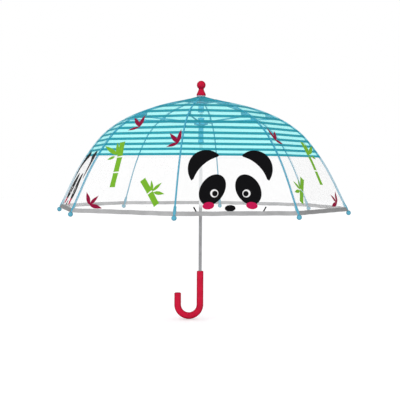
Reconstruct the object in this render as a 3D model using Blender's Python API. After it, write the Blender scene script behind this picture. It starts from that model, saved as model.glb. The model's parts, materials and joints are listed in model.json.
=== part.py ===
"""Children's dome umbrella with a crook handle: eight folding ribs under a clear film canopy.

Frame: metres, +Z up, the shaft along Z, the crook bending towards -X, and z = 0 at the
lowest point of the crook. The umbrella is modelled open. Each rib works in its own upright
plane through the shaft, so a rib part is drawn once in (radius, height) and turned into place.
"""
from math import acos, asin, atan2, cos, hypot, pi, radians, sin

import bmesh
import bpy
from mathutils import Matrix, Vector

# ---------------------------------------------------------------- driving dimensions (metres)
RIB_COUNT = 8
RIB_STEP = 2 * pi / RIB_COUNT
FIRST_RIB_ANGLE = radians(-8.84)      # from the front (-Y), towards +X
CANOPY_RADIUS = 0.360                 # shaft axis to the tip balls
TIP_HEIGHT = 0.267                    # centres of the tip balls
OVERALL_HEIGHT = 0.5862               # crook bottom to finial top

SHAFT_RADIUS = 0.0040
SHAFT_BORE = 0.0034
SHAFT_BOTTOM = 0.061
SHAFT_TOP = 0.565
SOCKET_RADIUS = 0.0043                # blind bores that hold the shaft's ends
SOCKET_END_GAP = 0.0005

HANDLE_RADIUS = 0.00825
HANDLE_BEND = 0.0275                  # centreline radius of the crook
HANDLE_TOP = 0.119
HANDLE_SHORT_END = 0.065
HANDLE_EDGE = 0.0016                  # rounding of both ends

OUTLINE_FACETS = 14                   # straight facets from the canopy's centre to its hem
FILM = 0.00025
FILM_TO_RIB = 0.0025                  # film's outer face to a rib's centreline
SEAM_GAP = 0.0005                     # half of the gap between neighbouring panels
TIP_CLEARANCE = 0.0047                # panel corners stop this far beside a tip sleeve
HEM_HEIGHT = 0.008
HEM_THICKNESS = 0.0008
# Canopy outline over a rib, (radius, height above the tip balls), eased through by a spline.
CANOPY_OUTLINE = (
    (0.0105, 0.2800), (0.0470, 0.2705), (0.1120, 0.2560), (0.1800, 0.2320),
    (0.2460, 0.1890), (0.3030, 0.1150), (0.3420, 0.0400), (0.3610, 0.0010),
)

ROD_RADIUS = 0.0015
ROD_SIDES = 6
EYE_THICKNESS = 0.0020
EYE_RADIUS = 0.0022
EYE_HOLE = 0.0009
TONGUE_LENGTH = 0.0075

NOTCH_PIVOT = (0.010, TIP_HEIGHT + 0.265)
NOTCH_FLANGE_RADIUS = 0.0125
NOTCH_SLEEVE_RADIUS = 0.0075
NOTCH_BOTTOM = TIP_HEIGHT + 0.2595
NOTCH_FLANGE_TOP = TIP_HEIGHT + 0.2700
NOTCH_TOP = TIP_HEIGHT + 0.2785
NOTCH_NECK_RADIUS = 0.0068            # plain neck below the flange
NOTCH_NECK_BOTTOM = TIP_HEIGHT + 0.2420
WIRE_RADIUS = 0.0005
SLOT_WIDTH = 0.0027

JOINT_RADIUS = 0.182                  # stretcher pivot, from the shaft axis
JOINT_DROP = 0.0025                   # and below the rib's centreline
BRACKET_IN = 0.028                    # bracket length inwards of the pivot
BRACKET_OUT = 0.0121                  # and outwards of it
FLEX_OFFSET = 0.014                   # flex point, outwards of the pivot along the rib
GUSSET_REACH = 0.0205                 # the bracket's web fills in this far along the stretcher
BRACKET_WIDTH = 0.0034
BRACKET_TOP = 0.0010                  # above the rib's centreline
LUG_RADIUS = 0.0024
PIN_RADIUS = 0.0010
FORK_HOLE = 0.0012
FORK_INNER = 0.0020                   # half of the gap between the fork's arms
FORK_OUTER = 0.0032
FORK_LENGTH = 0.024
FORK_BASE = 0.003
FORK_BASE_HALF = 0.0018

RUNNER_PIVOT = (0.014, TIP_HEIGHT + 0.217)
RUNNER_BORE = 0.0043
RUNNER_HEAD_RADIUS = 0.017
RUNNER_HEAD_HALF = 0.0050
RUNNER_SLEEVE_RADIUS = 0.0060
RUNNER_RIM_RADIUS = 0.0068
RUNNER_LENGTH_BELOW = 0.050
RUNNER_COLLAR_ABOVE = 0.011
STRETCHER_END_GAP = 0.0020            # the stretcher stops short of the runner's pivot circle

CATCH_ANGLE = FIRST_RIB_ANGLE + 4.5 * RIB_STEP    # between two ribs, a quarter turn from the crook
CATCH_WIDTH = 0.0016
CATCH_NOSE = 0.0032                   # how far a nose stands out of the shaft
CATCH_HEIGHT = 0.0110
CATCH_TRAVEL = 0.0032
CATCH_GAP = 0.0008                    # from a nose to the runner that it holds

BALL_RADIUS = 0.0056
TIP_SLEEVE_RADIUS = 0.0034
TIP_NECK_RADIUS = 0.0026
TIP_SLEEVE_TOP = 0.0268               # from the ball's centre, along the rib
TIP_BORE_BOTTOM = 0.0080
TIP_BORE = 0.0018

CLOSED_JOINT_RADIUS = 0.0175
CLOSED_TIP_RADIUS = 0.035
CLOSED_FILM_CLEARANCE = 0.004


# ---------------------------------------------------------------- plane geometry of one rib
def spline_point(points, place):
    """Catmull-Rom point; place runs from 0 at the first point to 1 at the last."""
    spans = len(points) - 1
    span = min(int(place * spans), spans - 1)
    t = place * spans - span
    before = points[max(span - 1, 0)]
    start = points[span]
    end = points[span + 1]
    after = points[min(span + 2, spans)]
    weights = (
        -0.5 * t + t * t - 0.5 * t ** 3,
        1 - 2.5 * t * t + 1.5 * t ** 3,
        0.5 * t + 2 * t * t - 1.5 * t ** 3,
        -0.5 * t * t + 0.5 * t ** 3,
    )
    return tuple(
        sum(w * p[axis] for w, p in zip(weights, (before, start, end, after)))
        for axis in (0, 1)
    )


def canopy_point(place):
    """Point (radius, world height) on the film's outer face over a rib."""
    radius, height = spline_point(CANOPY_OUTLINE, place)
    return radius, TIP_HEIGHT + height


def canopy_normal(place):
    """Outward unit normal of the outline, in (radius, height)."""
    step = 0.001
    r0, z0 = canopy_point(max(place - step, 0.0))
    r1, z1 = canopy_point(min(place + step, 1.0))
    length = hypot(r1 - r0, z1 - z0)
    return -(z1 - z0) / length, (r1 - r0) / length


def rib_point(place):
    """Point on a rib's centreline, under the film."""
    radius, height = canopy_point(place)
    normal_r, normal_z = canopy_normal(place)
    return radius - FILM_TO_RIB * normal_r, height - FILM_TO_RIB * normal_z


def place_at_radius(curve, radius):
    """Place along a curve where it reaches a radius, by halving."""
    low, high = 0.0, 1.0
    for _ in range(40):
        middle = (low + high) / 2
        if curve(middle)[0] < radius:
            low = middle
        else:
            high = middle
    return (low + high) / 2


def place_after(curve, start, distance):
    """Place where a curve has run a signed distance from a starting place."""
    step = 0.0005 if distance > 0 else -0.0005
    place, run = start, 0.0
    last = curve(place)
    while run < abs(distance):
        place += step
        point = curve(place)
        run += hypot(point[0] - last[0], point[1] - last[1])
        last = point
    return place


def unit(start, end):
    length = hypot(end[0] - start[0], end[1] - start[1])
    return (end[0] - start[0]) / length, (end[1] - start[1]) / length


def distance(start, end):
    return hypot(end[0] - start[0], end[1] - start[1])


def closing_angle(start, end):
    """Direction of a line in a rib's plane: 0 points outwards, 90 degrees points down."""
    return atan2(start[1] - end[1], end[0] - start[0])


def turned(point, pivot, angle):
    """Point turned about a pivot by a closing angle (outwards towards down)."""
    r, z = point[0] - pivot[0], point[1] - pivot[1]
    return pivot[0] + r * cos(angle) + z * sin(angle), pivot[1] - r * sin(angle) + z * cos(angle)


def facet_places(start, end):
    """Places of the shared facets between two places, so that film and ribs stay parallel."""
    inside = [k / OUTLINE_FACETS for k in range(OUTLINE_FACETS + 1)]
    return [start] + [place for place in inside if start + 0.008 < place < end - 0.008] + [end]


JOINT_PLACE = place_at_radius(rib_point, JOINT_RADIUS)
RIB_OVER_JOINT = rib_point(JOINT_PLACE)
STRETCHER_PIVOT = (RIB_OVER_JOINT[0], RIB_OVER_JOINT[1] - JOINT_DROP)
FLEX_PLACE = place_after(rib_point, JOINT_PLACE, FLEX_OFFSET)
FLEX_POINT = rib_point(FLEX_PLACE)
TIP_POINT = (CANOPY_RADIUS, TIP_HEIGHT)
TIP_ALONG = unit(rib_point(0.93), TIP_POINT)


def tip_reach(reach):
    """Point on the tip's axis, this far above the ball's centre."""
    return TIP_POINT[0] - TIP_ALONG[0] * reach, TIP_POINT[1] - TIP_ALONG[1] * reach


# ---------------------------------------------------------------- how the umbrella folds
UPPER_LINK = distance(NOTCH_PIVOT, STRETCHER_PIVOT)
LOWER_LINK = distance(STRETCHER_PIVOT, RUNNER_PIVOT)
RIB_CLOSED_DIRECTION = acos((CLOSED_JOINT_RADIUS - NOTCH_PIVOT[0]) / UPPER_LINK)
RIB_TURN = RIB_CLOSED_DIRECTION - closing_angle(NOTCH_PIVOT, STRETCHER_PIVOT)
CLOSED_JOINT = turned(STRETCHER_PIVOT, NOTCH_PIVOT, RIB_TURN)
LOWER_LINK_LEAN = asin((CLOSED_JOINT[0] - RUNNER_PIVOT[0]) / LOWER_LINK)
CLOSED_RUNNER_HEIGHT = CLOSED_JOINT[1] - LOWER_LINK * cos(LOWER_LINK_LEAN)
RUNNER_TRAVEL = RUNNER_PIVOT[1] - CLOSED_RUNNER_HEIGHT
STRETCHER_TURN = pi / 2 + LOWER_LINK_LEAN - closing_angle(STRETCHER_PIVOT, RUNNER_PIVOT) - RIB_TURN
CLOSED_FLEX = turned(FLEX_POINT, NOTCH_PIVOT, RIB_TURN)
OUTER_CLOSED_DIRECTION = acos((CLOSED_TIP_RADIUS - CLOSED_FLEX[0]) / distance(FLEX_POINT, TIP_POINT))
FLEX_TURN = OUTER_CLOSED_DIRECTION - closing_angle(FLEX_POINT, TIP_POINT) - RIB_TURN

# Panels turn in the plane half-way between two ribs, where radii shrink by this factor.
MID_SHRINK = cos(RIB_STEP / 2)


def mid_point(place):
    radius, height = canopy_point(place)
    return radius * MID_SHRINK, height


CROWN_PIVOT = (NOTCH_PIVOT[0] * MID_SHRINK, NOTCH_PIVOT[1])
PANEL_SPLIT_PLACE = place_at_radius(canopy_point, FLEX_POINT[0])
PANEL_PIVOT = mid_point(PANEL_SPLIT_PLACE)
PANEL_HEM = mid_point(1.0)
CROWN_CLOSED_DIRECTION = acos(
    (CLOSED_FLEX[0] + CLOSED_FILM_CLEARANCE - CROWN_PIVOT[0]) / distance(CROWN_PIVOT, PANEL_PIVOT)
)
CROWN_TURN = CROWN_CLOSED_DIRECTION - closing_angle(CROWN_PIVOT, PANEL_PIVOT)
CLOSED_PANEL_PIVOT = turned(PANEL_PIVOT, CROWN_PIVOT, CROWN_TURN)
SKIRT_CLOSED_DIRECTION = acos(
    (CLOSED_TIP_RADIUS - CLOSED_PANEL_PIVOT[0]) / distance(PANEL_PIVOT, PANEL_HEM)
)
SKIRT_TURN = SKIRT_CLOSED_DIRECTION - closing_angle(PANEL_PIVOT, PANEL_HEM) - CROWN_TURN

RUNNER_BOTTOM = RUNNER_PIVOT[1] - RUNNER_LENGTH_BELOW
RUNNER_TOP = RUNNER_PIVOT[1] + RUNNER_COLLAR_ABOVE
UPPER_CATCH_TOP = RUNNER_BOTTOM - CATCH_GAP
LOWER_CATCH_BOTTOM = RUNNER_TOP - RUNNER_TRAVEL + CATCH_GAP


def rib_angle(number):
    return FIRST_RIB_ANGLE + (number - 1) * RIB_STEP


def outward(angle):
    """Unit vector away from the shaft at an angle from the front."""
    return Vector((sin(angle), -cos(angle), 0))


# ---------------------------------------------------------------- mesh helpers
def new_object(name, mesh, material, angle=0.0):
    thing = bpy.data.objects.new(name, mesh)
    bpy.context.scene.collection.objects.link(thing)
    thing.rotation_euler.z = angle
    if not mesh.materials:
        mesh.materials.append(material)
    return thing


def mesh_from(points, faces, name):
    mesh = bpy.data.meshes.new(name)
    mesh.from_pydata([tuple(p) for p in points], [], faces)
    shaped = bmesh.new()
    shaped.from_mesh(mesh)
    bmesh.ops.recalc_face_normals(shaped, faces=shaped.faces)
    shaped.to_mesh(mesh)
    shaped.free()
    mesh.shade_smooth()
    mesh.set_sharp_from_angle(angle=radians(35))
    return mesh


def in_plane(radius, height, side=0.0):
    """A point of the plane of a rib that stands at angle 0, which faces -Y."""
    return Vector((side, -radius, height))


def turned_mesh(name, outline, sides, closed):
    """Solid of revolution about Z from (radius, height) points; closed means a ring profile."""
    points, faces, rings = [], [], []
    for radius, height in outline:
        if radius < 1e-9:
            points.append((0, 0, height))
            rings.append([len(points) - 1] * sides)
            continue
        first = len(points)
        for side in range(sides):
            angle = 2 * pi * side / sides
            points.append((radius * cos(angle), radius * sin(angle), height))
        rings.append(list(range(first, first + sides)))
    count = len(rings)
    for row in range(count if closed else count - 1):
        low, high = rings[row], rings[(row + 1) % count]
        for side in range(sides):
            after = (side + 1) % sides
            corners = [low[side], low[after], high[after], high[side]]
            unique = list(dict.fromkeys(corners))
            if len(unique) > 2:
                faces.append(unique)
    return mesh_from(points, faces, name)


def lofted_mesh(name, rings):
    """Closed solid through rings of equal point counts, with flat ends."""
    sides = len(rings[0])
    points = [point for ring in rings for point in ring]
    faces = [list(range(sides)), list(range(len(points) - sides, len(points)))]
    for row in range(len(rings) - 1):
        for side in range(sides):
            after = (side + 1) % sides
            start = row * sides
            faces.append([start + side, start + after, start + sides + after, start + sides + side])
    return mesh_from(points, faces, name)


def slab_mesh(name, outline, half_width):
    """Flat piece in a rib's plane: an outline of (radius, height) points with a thickness."""
    sides = (-half_width, half_width)
    return lofted_mesh(name, [[in_plane(r, z, side) for r, z in outline] for side in sides])


def rod_rings(path, radius, sides=ROD_SIDES):
    """Rings square to a path of (radius, height) points; radius may be a list, one per point."""
    rings = []
    for index, point in enumerate(path):
        before = path[max(index - 1, 0)]
        after = path[min(index + 1, len(path) - 1)]
        along = unit(before, after)
        size = radius[index] if isinstance(radius, (list, tuple)) else radius
        ring = []
        for side in range(sides):
            angle = 2 * pi * (side + 0.5) / sides
            lift = size * sin(angle)
            ring.append(in_plane(point[0] - along[1] * lift, point[1] + along[0] * lift, size * cos(angle)))
        rings.append(ring)
    return rings


def arc_points(centre, radius, start, end, steps):
    """Points (radius, height) along an arc in a rib's plane, both ends included."""
    angles = [start + (end - start) * step / steps for step in range(steps + 1)]
    return [(centre[0] + radius * cos(angle), centre[1] + radius * sin(angle)) for angle in angles]


def circle_points(centre, radius, sides):
    return arc_points(centre, radius, 0.0, 2 * pi, sides)[:-1]


def pin_mesh(name, centre, radius, half_length, sides=10):
    """Round bar across a rib's plane."""
    return slab_mesh(name, circle_points(centre, radius, sides), half_length)


def combined(name, base, tools, operation):
    """Mesh of base after a Boolean with each tool mesh."""
    body = bpy.data.objects.new(name, base)
    bpy.context.scene.collection.objects.link(body)
    helpers = [body]
    for tool in tools:
        helper = bpy.data.objects.new(name + "_tool", tool)
        bpy.context.scene.collection.objects.link(helper)
        helpers.append(helper)
        step = body.modifiers.new("step", "BOOLEAN")
        step.operation = operation
        step.object = helper
    bpy.context.view_layer.update()
    result = bpy.data.meshes.new_from_object(body.evaluated_get(bpy.context.evaluated_depsgraph_get()))
    result.name = name
    for helper in helpers:
        bpy.data.objects.remove(helper)
    result.materials.clear()
    result.shade_smooth()
    result.set_sharp_from_angle(angle=radians(35))
    return result


def box_mesh(name, low, high, angle=0.0):
    """Box from its corners (out, across, up), turned to face an angle from the front."""
    out = outward(angle)
    across = Vector((cos(angle), sin(angle), 0))
    rings = []
    for height in (low[2], high[2]):
        corners = ((low[0], low[1]), (high[0], low[1]), (high[0], high[1]), (low[0], high[1]))
        rings.append([out * x + across * y + Vector((0, 0, height)) for x, y in corners])
    return lofted_mesh(name, rings)


def plastic(name, colour, roughness, alpha=1.0, metallic=0.0):
    material = bpy.data.materials.new(name)
    material.use_nodes = True
    shader = material.node_tree.nodes["Principled BSDF"]
    shader.inputs["Base Color"].default_value = (*colour, 1.0)
    shader.inputs["Roughness"].default_value = roughness
    shader.inputs["Metallic"].default_value = metallic
    shader.inputs["Alpha"].default_value = alpha
    return material


# ---------------------------------------------------------------- handle, shaft and top
def make_handle(red):
    sides, bend_steps = 16, 12
    short_x = -2 * HANDLE_BEND
    bend_height = HANDLE_BEND + HANDLE_RADIUS
    path = [(0.0, HANDLE_TOP, 0.0), (0.0, bend_height, 0.0)]
    for step in range(1, bend_steps + 1):
        angle = pi * step / bend_steps
        x = -HANDLE_BEND + HANDLE_BEND * cos(angle)
        path.append((x, bend_height - HANDLE_BEND * sin(angle), angle))
    path.append((short_x, HANDLE_SHORT_END, pi))
    rings = []
    last = len(path) - 1
    for index, (x, z, angle) in enumerate(path):
        sizes = ((HANDLE_RADIUS, 0.0),)
        if index == 0:
            sizes = ((HANDLE_RADIUS - HANDLE_EDGE, 0.0), (HANDLE_RADIUS, -HANDLE_EDGE))
        if index == last:
            sizes = ((HANDLE_RADIUS, -HANDLE_EDGE), (HANDLE_RADIUS - HANDLE_EDGE, 0.0))
        for size, lift in sizes:
            ring = []
            for side in range(sides):
                turn = 2 * pi * side / sides
                out = size * cos(turn)
                ring.append(Vector((x + out * cos(angle), size * sin(turn), z + lift - out * sin(angle))))
            rings.append(ring)
    handle = lofted_mesh("crook_handle", rings)
    socket_bottom = SHAFT_BOTTOM - SOCKET_END_GAP
    margin = 0.01
    socket = turned_mesh(
        "socket", ((0, HANDLE_TOP + margin), (SOCKET_RADIUS, HANDLE_TOP + margin),
                   (SOCKET_RADIUS, socket_bottom), (0, socket_bottom)), 20, False)
    new_object("crook_handle", combined("crook_handle", handle, [socket], "DIFFERENCE"), red)


def make_shaft(steel):
    tube = turned_mesh(
        "shaft_tube", ((SHAFT_RADIUS, SHAFT_TOP), (SHAFT_RADIUS, SHAFT_BOTTOM),
                       (SHAFT_BORE, SHAFT_BOTTOM), (SHAFT_BORE, SHAFT_TOP)), 20, True)
    half = CATCH_WIDTH / 2 + 0.0003
    windows = []
    for bottom in (UPPER_CATCH_TOP - CATCH_HEIGHT, LOWER_CATCH_BOTTOM):
        low = (0.001, -half, bottom - 0.0003)
        high = (0.006, half, bottom + CATCH_HEIGHT + 0.0003)
        windows.append(box_mesh("window", low, high, CATCH_ANGLE))
    new_object("shaft_tube", combined("shaft_tube", tube, windows, "DIFFERENCE"), steel)


def make_finial(red):
    base_bottom, base_radius, base_height = 0.5500, 0.0113, 0.0060
    neck_radius, neck_height = 0.0060, 0.5650
    ball_radius = 0.0107
    ball_centre = OVERALL_HEIGHT - ball_radius
    steps = 7
    neck_lift = asin(neck_radius / ball_radius)
    outline = [(0, OVERALL_HEIGHT)]
    for step in range(1, steps + 1):
        angle = (pi - neck_lift) * step / steps
        outline.append((ball_radius * sin(angle), ball_centre + ball_radius * cos(angle)))
    bore_top = SHAFT_TOP + SOCKET_END_GAP
    outline += [
        (neck_radius, neck_height), (base_radius, base_bottom + base_height), (base_radius, base_bottom),
        (SOCKET_RADIUS, base_bottom), (SOCKET_RADIUS, bore_top), (0, bore_top),
    ]
    new_object("finial", turned_mesh("finial", outline, 18, False), red)


def make_top_washer(clear):
    low, high, radius = 0.5476, 0.5496, 0.0107
    outline = ((radius, high), (radius, low), (SOCKET_RADIUS, low), (SOCKET_RADIUS, high))
    new_object("top_washer", turned_mesh("top_washer", outline, 24, True), clear)


def slot_cutters(radius_in, radius_out, low, high):
    inner, outer = (radius_in, -SLOT_WIDTH / 2, low), (radius_out, SLOT_WIDTH / 2, high)
    return [box_mesh("slot", inner, outer, rib_angle(number)) for number in range(1, RIB_COUNT + 1)]


def make_notch(blue, steel):
    """The star that the ribs' inner ends pivot in, and the wire ring that pins them."""
    groove = WIRE_RADIUS + 0.0004
    groove_bottom = NOTCH_PIVOT[0] - groove
    pivot = NOTCH_PIVOT[1]
    outline = (
        (NOTCH_SLEEVE_RADIUS, NOTCH_TOP), (NOTCH_SLEEVE_RADIUS, NOTCH_FLANGE_TOP),
        (NOTCH_FLANGE_RADIUS, NOTCH_FLANGE_TOP), (NOTCH_FLANGE_RADIUS, pivot + groove),
        (groove_bottom, pivot + groove), (groove_bottom, pivot - groove),
        (NOTCH_FLANGE_RADIUS, pivot - groove), (NOTCH_FLANGE_RADIUS, NOTCH_BOTTOM),
        (NOTCH_NECK_RADIUS, NOTCH_BOTTOM), (NOTCH_NECK_RADIUS, NOTCH_NECK_BOTTOM),
        (SOCKET_RADIUS, NOTCH_NECK_BOTTOM), (SOCKET_RADIUS, NOTCH_TOP),
    )
    star = turned_mesh("top_notch", outline, 24, True)
    slot_in = NOTCH_PIVOT[0] - EYE_RADIUS - 0.0004
    slot_out, slot_top = NOTCH_FLANGE_RADIUS + 0.002, pivot + EYE_RADIUS + 0.0008
    slots = slot_cutters(slot_in, slot_out, NOTCH_BOTTOM - 0.001, slot_top)
    new_object("top_notch", combined("top_notch", star, slots, "DIFFERENCE"), blue)
    ring = circle_points(NOTCH_PIVOT, WIRE_RADIUS, 6)[::-1]
    new_object("notch_wire", turned_mesh("notch_wire", ring, 24, True), steel)


# ---------------------------------------------------------------- runner and catches
def make_runner(blue):
    """Sliding sleeve: slotted head for the stretchers, waist, and a low rim at its foot."""
    pivot = RUNNER_PIVOT[1]
    head_top, head_bottom = pivot + RUNNER_HEAD_HALF, pivot - RUNNER_HEAD_HALF
    collar = 0.0078
    outline = [
        (collar, RUNNER_TOP), (collar, head_top), (RUNNER_HEAD_RADIUS, head_top),
        (RUNNER_HEAD_RADIUS, head_bottom), (RUNNER_SLEEVE_RADIUS, head_bottom - 0.004),
        (RUNNER_SLEEVE_RADIUS, RUNNER_BOTTOM + 0.006), (RUNNER_RIM_RADIUS, RUNNER_BOTTOM + 0.005),
        (RUNNER_RIM_RADIUS, RUNNER_BOTTOM), (RUNNER_BORE, RUNNER_BOTTOM), (RUNNER_BORE, RUNNER_TOP),
    ]
    sleeve = turned_mesh("runner", outline, 24, True)
    cutters = slot_cutters(collar + 0.0002, RUNNER_HEAD_RADIUS + 0.002, head_bottom - 0.006, head_top + 0.001)
    half = CATCH_WIDTH / 2 + 0.0006
    low = (0.001, -half, RUNNER_BOTTOM - 0.001)
    high = (SHAFT_RADIUS + CATCH_NOSE + 0.0006, half, RUNNER_TOP + 0.001)
    cutters.append(box_mesh("catch_slot", low, high, CATCH_ANGLE))
    new_object("runner", combined("runner", sleeve, cutters, "DIFFERENCE"), blue)


def make_catch(name, bottom, slope_up, steel):
    """Spring catch: a leaf inside the tube with a nose that stands out of its window."""
    back, front = 0.0004, SHAFT_RADIUS + CATCH_NOSE
    root = 0.0018
    leaf_reach = 0.012
    slope = CATCH_HEIGHT * 0.8
    top = bottom + CATCH_HEIGHT
    if slope_up:
        outline = [(front, top), (root, top), (root, top + leaf_reach), (back, top + leaf_reach),
                   (back, bottom - leaf_reach), (root, bottom - leaf_reach), (root, bottom),
                   (SHAFT_RADIUS, bottom), (front, bottom + slope)]
    else:
        outline = [(front, top - slope), (SHAFT_RADIUS, top), (root, top), (root, top + leaf_reach),
                   (back, top + leaf_reach), (back, bottom - leaf_reach), (root, bottom - leaf_reach),
                   (root, bottom), (front, bottom)]
    new_object(name, slab_mesh(name, outline, CATCH_WIDTH / 2), steel, CATCH_ANGLE)


# ---------------------------------------------------------------- rib parts, drawn at angle 0
def inner_rib_mesh():
    """Eye, flat tongue, rod and stretcher bracket with its two stub pins."""
    pivot = NOTCH_PIVOT
    rod_start = place_at_radius(rib_point, 0.045)
    bracket_start = place_after(rib_point, JOINT_PLACE, -BRACKET_IN)
    bracket_end = place_after(rib_point, JOINT_PLACE, BRACKET_OUT)
    rod_end = place_after(rib_point, bracket_start, 0.006)
    path = [(pivot[0] + TONGUE_LENGTH - 0.0010, pivot[1] + 0.0006)]
    path += [rib_point(place) for place in facet_places(rod_start, rod_end)]
    rod = lofted_mesh("rib_rod", rod_rings(path, ROD_RADIUS))

    eye = arc_points(pivot, EYE_RADIUS, pi / 2, 3 * pi / 2, 10)
    tongue_end = pivot[0] + TONGUE_LENGTH + 0.0005
    eye += [(tongue_end, pivot[1] - 0.0008), (tongue_end, pivot[1] + 0.0019)]
    tongue = slab_mesh("rib_tongue", eye, EYE_THICKNESS / 2)

    def beside_rib(place, lift):
        r, z = rib_point(place)
        normal_r, normal_z = canopy_normal(place)
        return r + normal_r * lift, z + normal_z * lift

    outline = [beside_rib(place, BRACKET_TOP) for place in facet_places(bracket_start, bracket_end)]
    outline.append(beside_rib(bracket_end, -ROD_RADIUS))
    outline += arc_points(STRETCHER_PIVOT, LUG_RADIUS, radians(-15), radians(-120), 4)
    inward = unit(STRETCHER_PIVOT, RUNNER_PIVOT)
    outline.append(tuple(STRETCHER_PIVOT[axis] + inward[axis] * GUSSET_REACH for axis in range(2)))
    outline.append(beside_rib(bracket_start, -ROD_RADIUS))
    bracket = slab_mesh("rib_bracket", outline, BRACKET_WIDTH / 2)
    pins = pin_mesh("rib_pins", STRETCHER_PIVOT, PIN_RADIUS, FORK_OUTER)
    whole = combined("rib_inner", rod, [tongue, bracket, pins], "UNION")
    return combined("rib_inner", whole, [pin_mesh("eye_hole", pivot, EYE_HOLE, EYE_THICKNESS)], "DIFFERENCE")


def outer_rib_mesh():
    """Flexible rod from its round end at the flex point down into the tip's bore."""
    start = FLEX_POINT
    along = unit(start, rib_point(FLEX_PLACE + 0.02))
    path, sizes = [], []
    for angle in (radians(-70), radians(-35)):
        shift = ROD_RADIUS * sin(angle)
        path.append((start[0] + along[0] * shift, start[1] + along[1] * shift))
        sizes.append(ROD_RADIUS * cos(angle))
    clear_of_sleeve = TIP_SLEEVE_TOP + 0.006
    bend = [rib_point(place) for place in facet_places(FLEX_PLACE, 1.0)]
    path += [point for point in bend if distance(point, TIP_POINT) > clear_of_sleeve]
    path += [tip_reach(TIP_SLEEVE_TOP), tip_reach(TIP_BORE_BOTTOM + 0.0005)]
    sizes += [ROD_RADIUS] * (len(path) - len(sizes))
    return lofted_mesh("rib_outer", rod_rings(path, sizes))


def tip_mesh():
    """Ball end with a sleeve whose blind bore takes the rod."""
    neck = acos(TIP_NECK_RADIUS / BALL_RADIUS)
    outline = [(0, TIP_BORE_BOTTOM), (TIP_BORE, TIP_BORE_BOTTOM), (TIP_BORE, TIP_SLEEVE_TOP),
               (TIP_SLEEVE_RADIUS, TIP_SLEEVE_TOP), (TIP_SLEEVE_RADIUS, BALL_RADIUS + 0.002)]
    steps = 5
    for step in range(steps):
        angle = neck - (neck + pi / 2) * step / steps
        outline.append((BALL_RADIUS * cos(angle), BALL_RADIUS * sin(angle)))
    outline.append((0, -BALL_RADIUS))
    mesh = turned_mesh("rib_tip", outline[::-1], 10, False)
    lean = atan2(TIP_ALONG[0], -TIP_ALONG[1])
    mesh.transform(Matrix.Translation(in_plane(*TIP_POINT)) @ Matrix.Rotation(-lean, 4, "X"))
    return mesh


def stretcher_mesh():
    """Rod with a two-armed fork that straddles the rib's bracket; its inner end stays free."""
    pivot, runner = STRETCHER_PIVOT, RUNNER_PIVOT
    along = unit(pivot, runner)
    normal = (-along[1], along[0])

    def at(reach, lift=0.0):
        return pivot[0] + along[0] * reach + normal[0] * lift, pivot[1] + along[1] * reach + normal[1] * lift

    arm = [at(reach, lift) for reach, lift in arc_points((0, 0), LUG_RADIUS, pi / 2, 3 * pi / 2, 8)]
    block_end = FORK_LENGTH + FORK_BASE
    arm += [at(block_end, -FORK_BASE_HALF), at(block_end, FORK_BASE_HALF)]
    solid = slab_mesh("fork", arm, FORK_OUTER)
    opening = [at(-0.01, -0.01), at(FORK_LENGTH, -0.01), at(FORK_LENGTH, 0.01), at(-0.01, 0.01)]
    gap = slab_mesh("fork_gap", opening, FORK_INNER)
    holes = pin_mesh("fork_holes", pivot, FORK_HOLE, FORK_OUTER + 0.001)
    fork = combined("fork", solid, [gap, holes], "DIFFERENCE")
    reach = LOWER_LINK - STRETCHER_END_GAP
    tongue_start = LOWER_LINK - 0.012
    ends = [at(FORK_LENGTH + 0.001), at(tongue_start + 0.001)]
    rod = lofted_mesh("stretcher_rod", rod_rings(ends, ROD_RADIUS))
    flat = [at(tongue_start, 0.0010), at(tongue_start, -0.0010), at(reach, -0.0010), at(reach, 0.0010)]
    tongue = slab_mesh("stretcher_tongue", flat, EYE_THICKNESS / 2)
    return combined("stretcher", rod, [fork, tongue], "UNION")


def make_rib_parts(blue, steel):
    inner, outer, tip, stretcher = inner_rib_mesh(), outer_rib_mesh(), tip_mesh(), stretcher_mesh()
    for number in range(1, RIB_COUNT + 1):
        angle = rib_angle(number)
        new_object(f"rib_inner_{number}", inner, blue, angle)
        new_object(f"rib_outer_{number}", outer, blue, angle)
        new_object(f"rib_tip_{number}", tip, blue, angle)
        new_object(f"stretcher_{number}", stretcher, steel, angle)


# ---------------------------------------------------------------- film panels
def panel_mesh(name, places, thicknesses, insets):
    """Film between two ribs, flat across, drawn about the plane half-way between them."""
    outer_rows, inner_rows = [], []
    for place, thickness, inset in zip(places, thicknesses, insets):
        radius, height = canopy_point(place)
        half_width = radius * sin(RIB_STEP / 2) - inset
        normal_r, normal_z = canopy_normal(place)
        length = hypot(normal_r / MID_SHRINK, normal_z)
        shift_r, shift_z = thickness * normal_r / MID_SHRINK / length, thickness * normal_z / length
        for rows, r, z in ((outer_rows, radius * MID_SHRINK, height),
                           (inner_rows, radius * MID_SHRINK - shift_r, height - shift_z)):
            rows.append([in_plane(r, z, -half_width), in_plane(r, z, half_width)])
    rings = [outer + inner[::-1] for outer, inner in zip(outer_rows, inner_rows)]
    return lofted_mesh(name, rings)


def crown_mesh():
    split = place_after(canopy_point, PANEL_SPLIT_PLACE, -0.0005)
    places = facet_places(0.0, split)
    insets = [SEAM_GAP] * len(places)
    return panel_mesh("crown_panel", places, [FILM] * len(places), insets)


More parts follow.
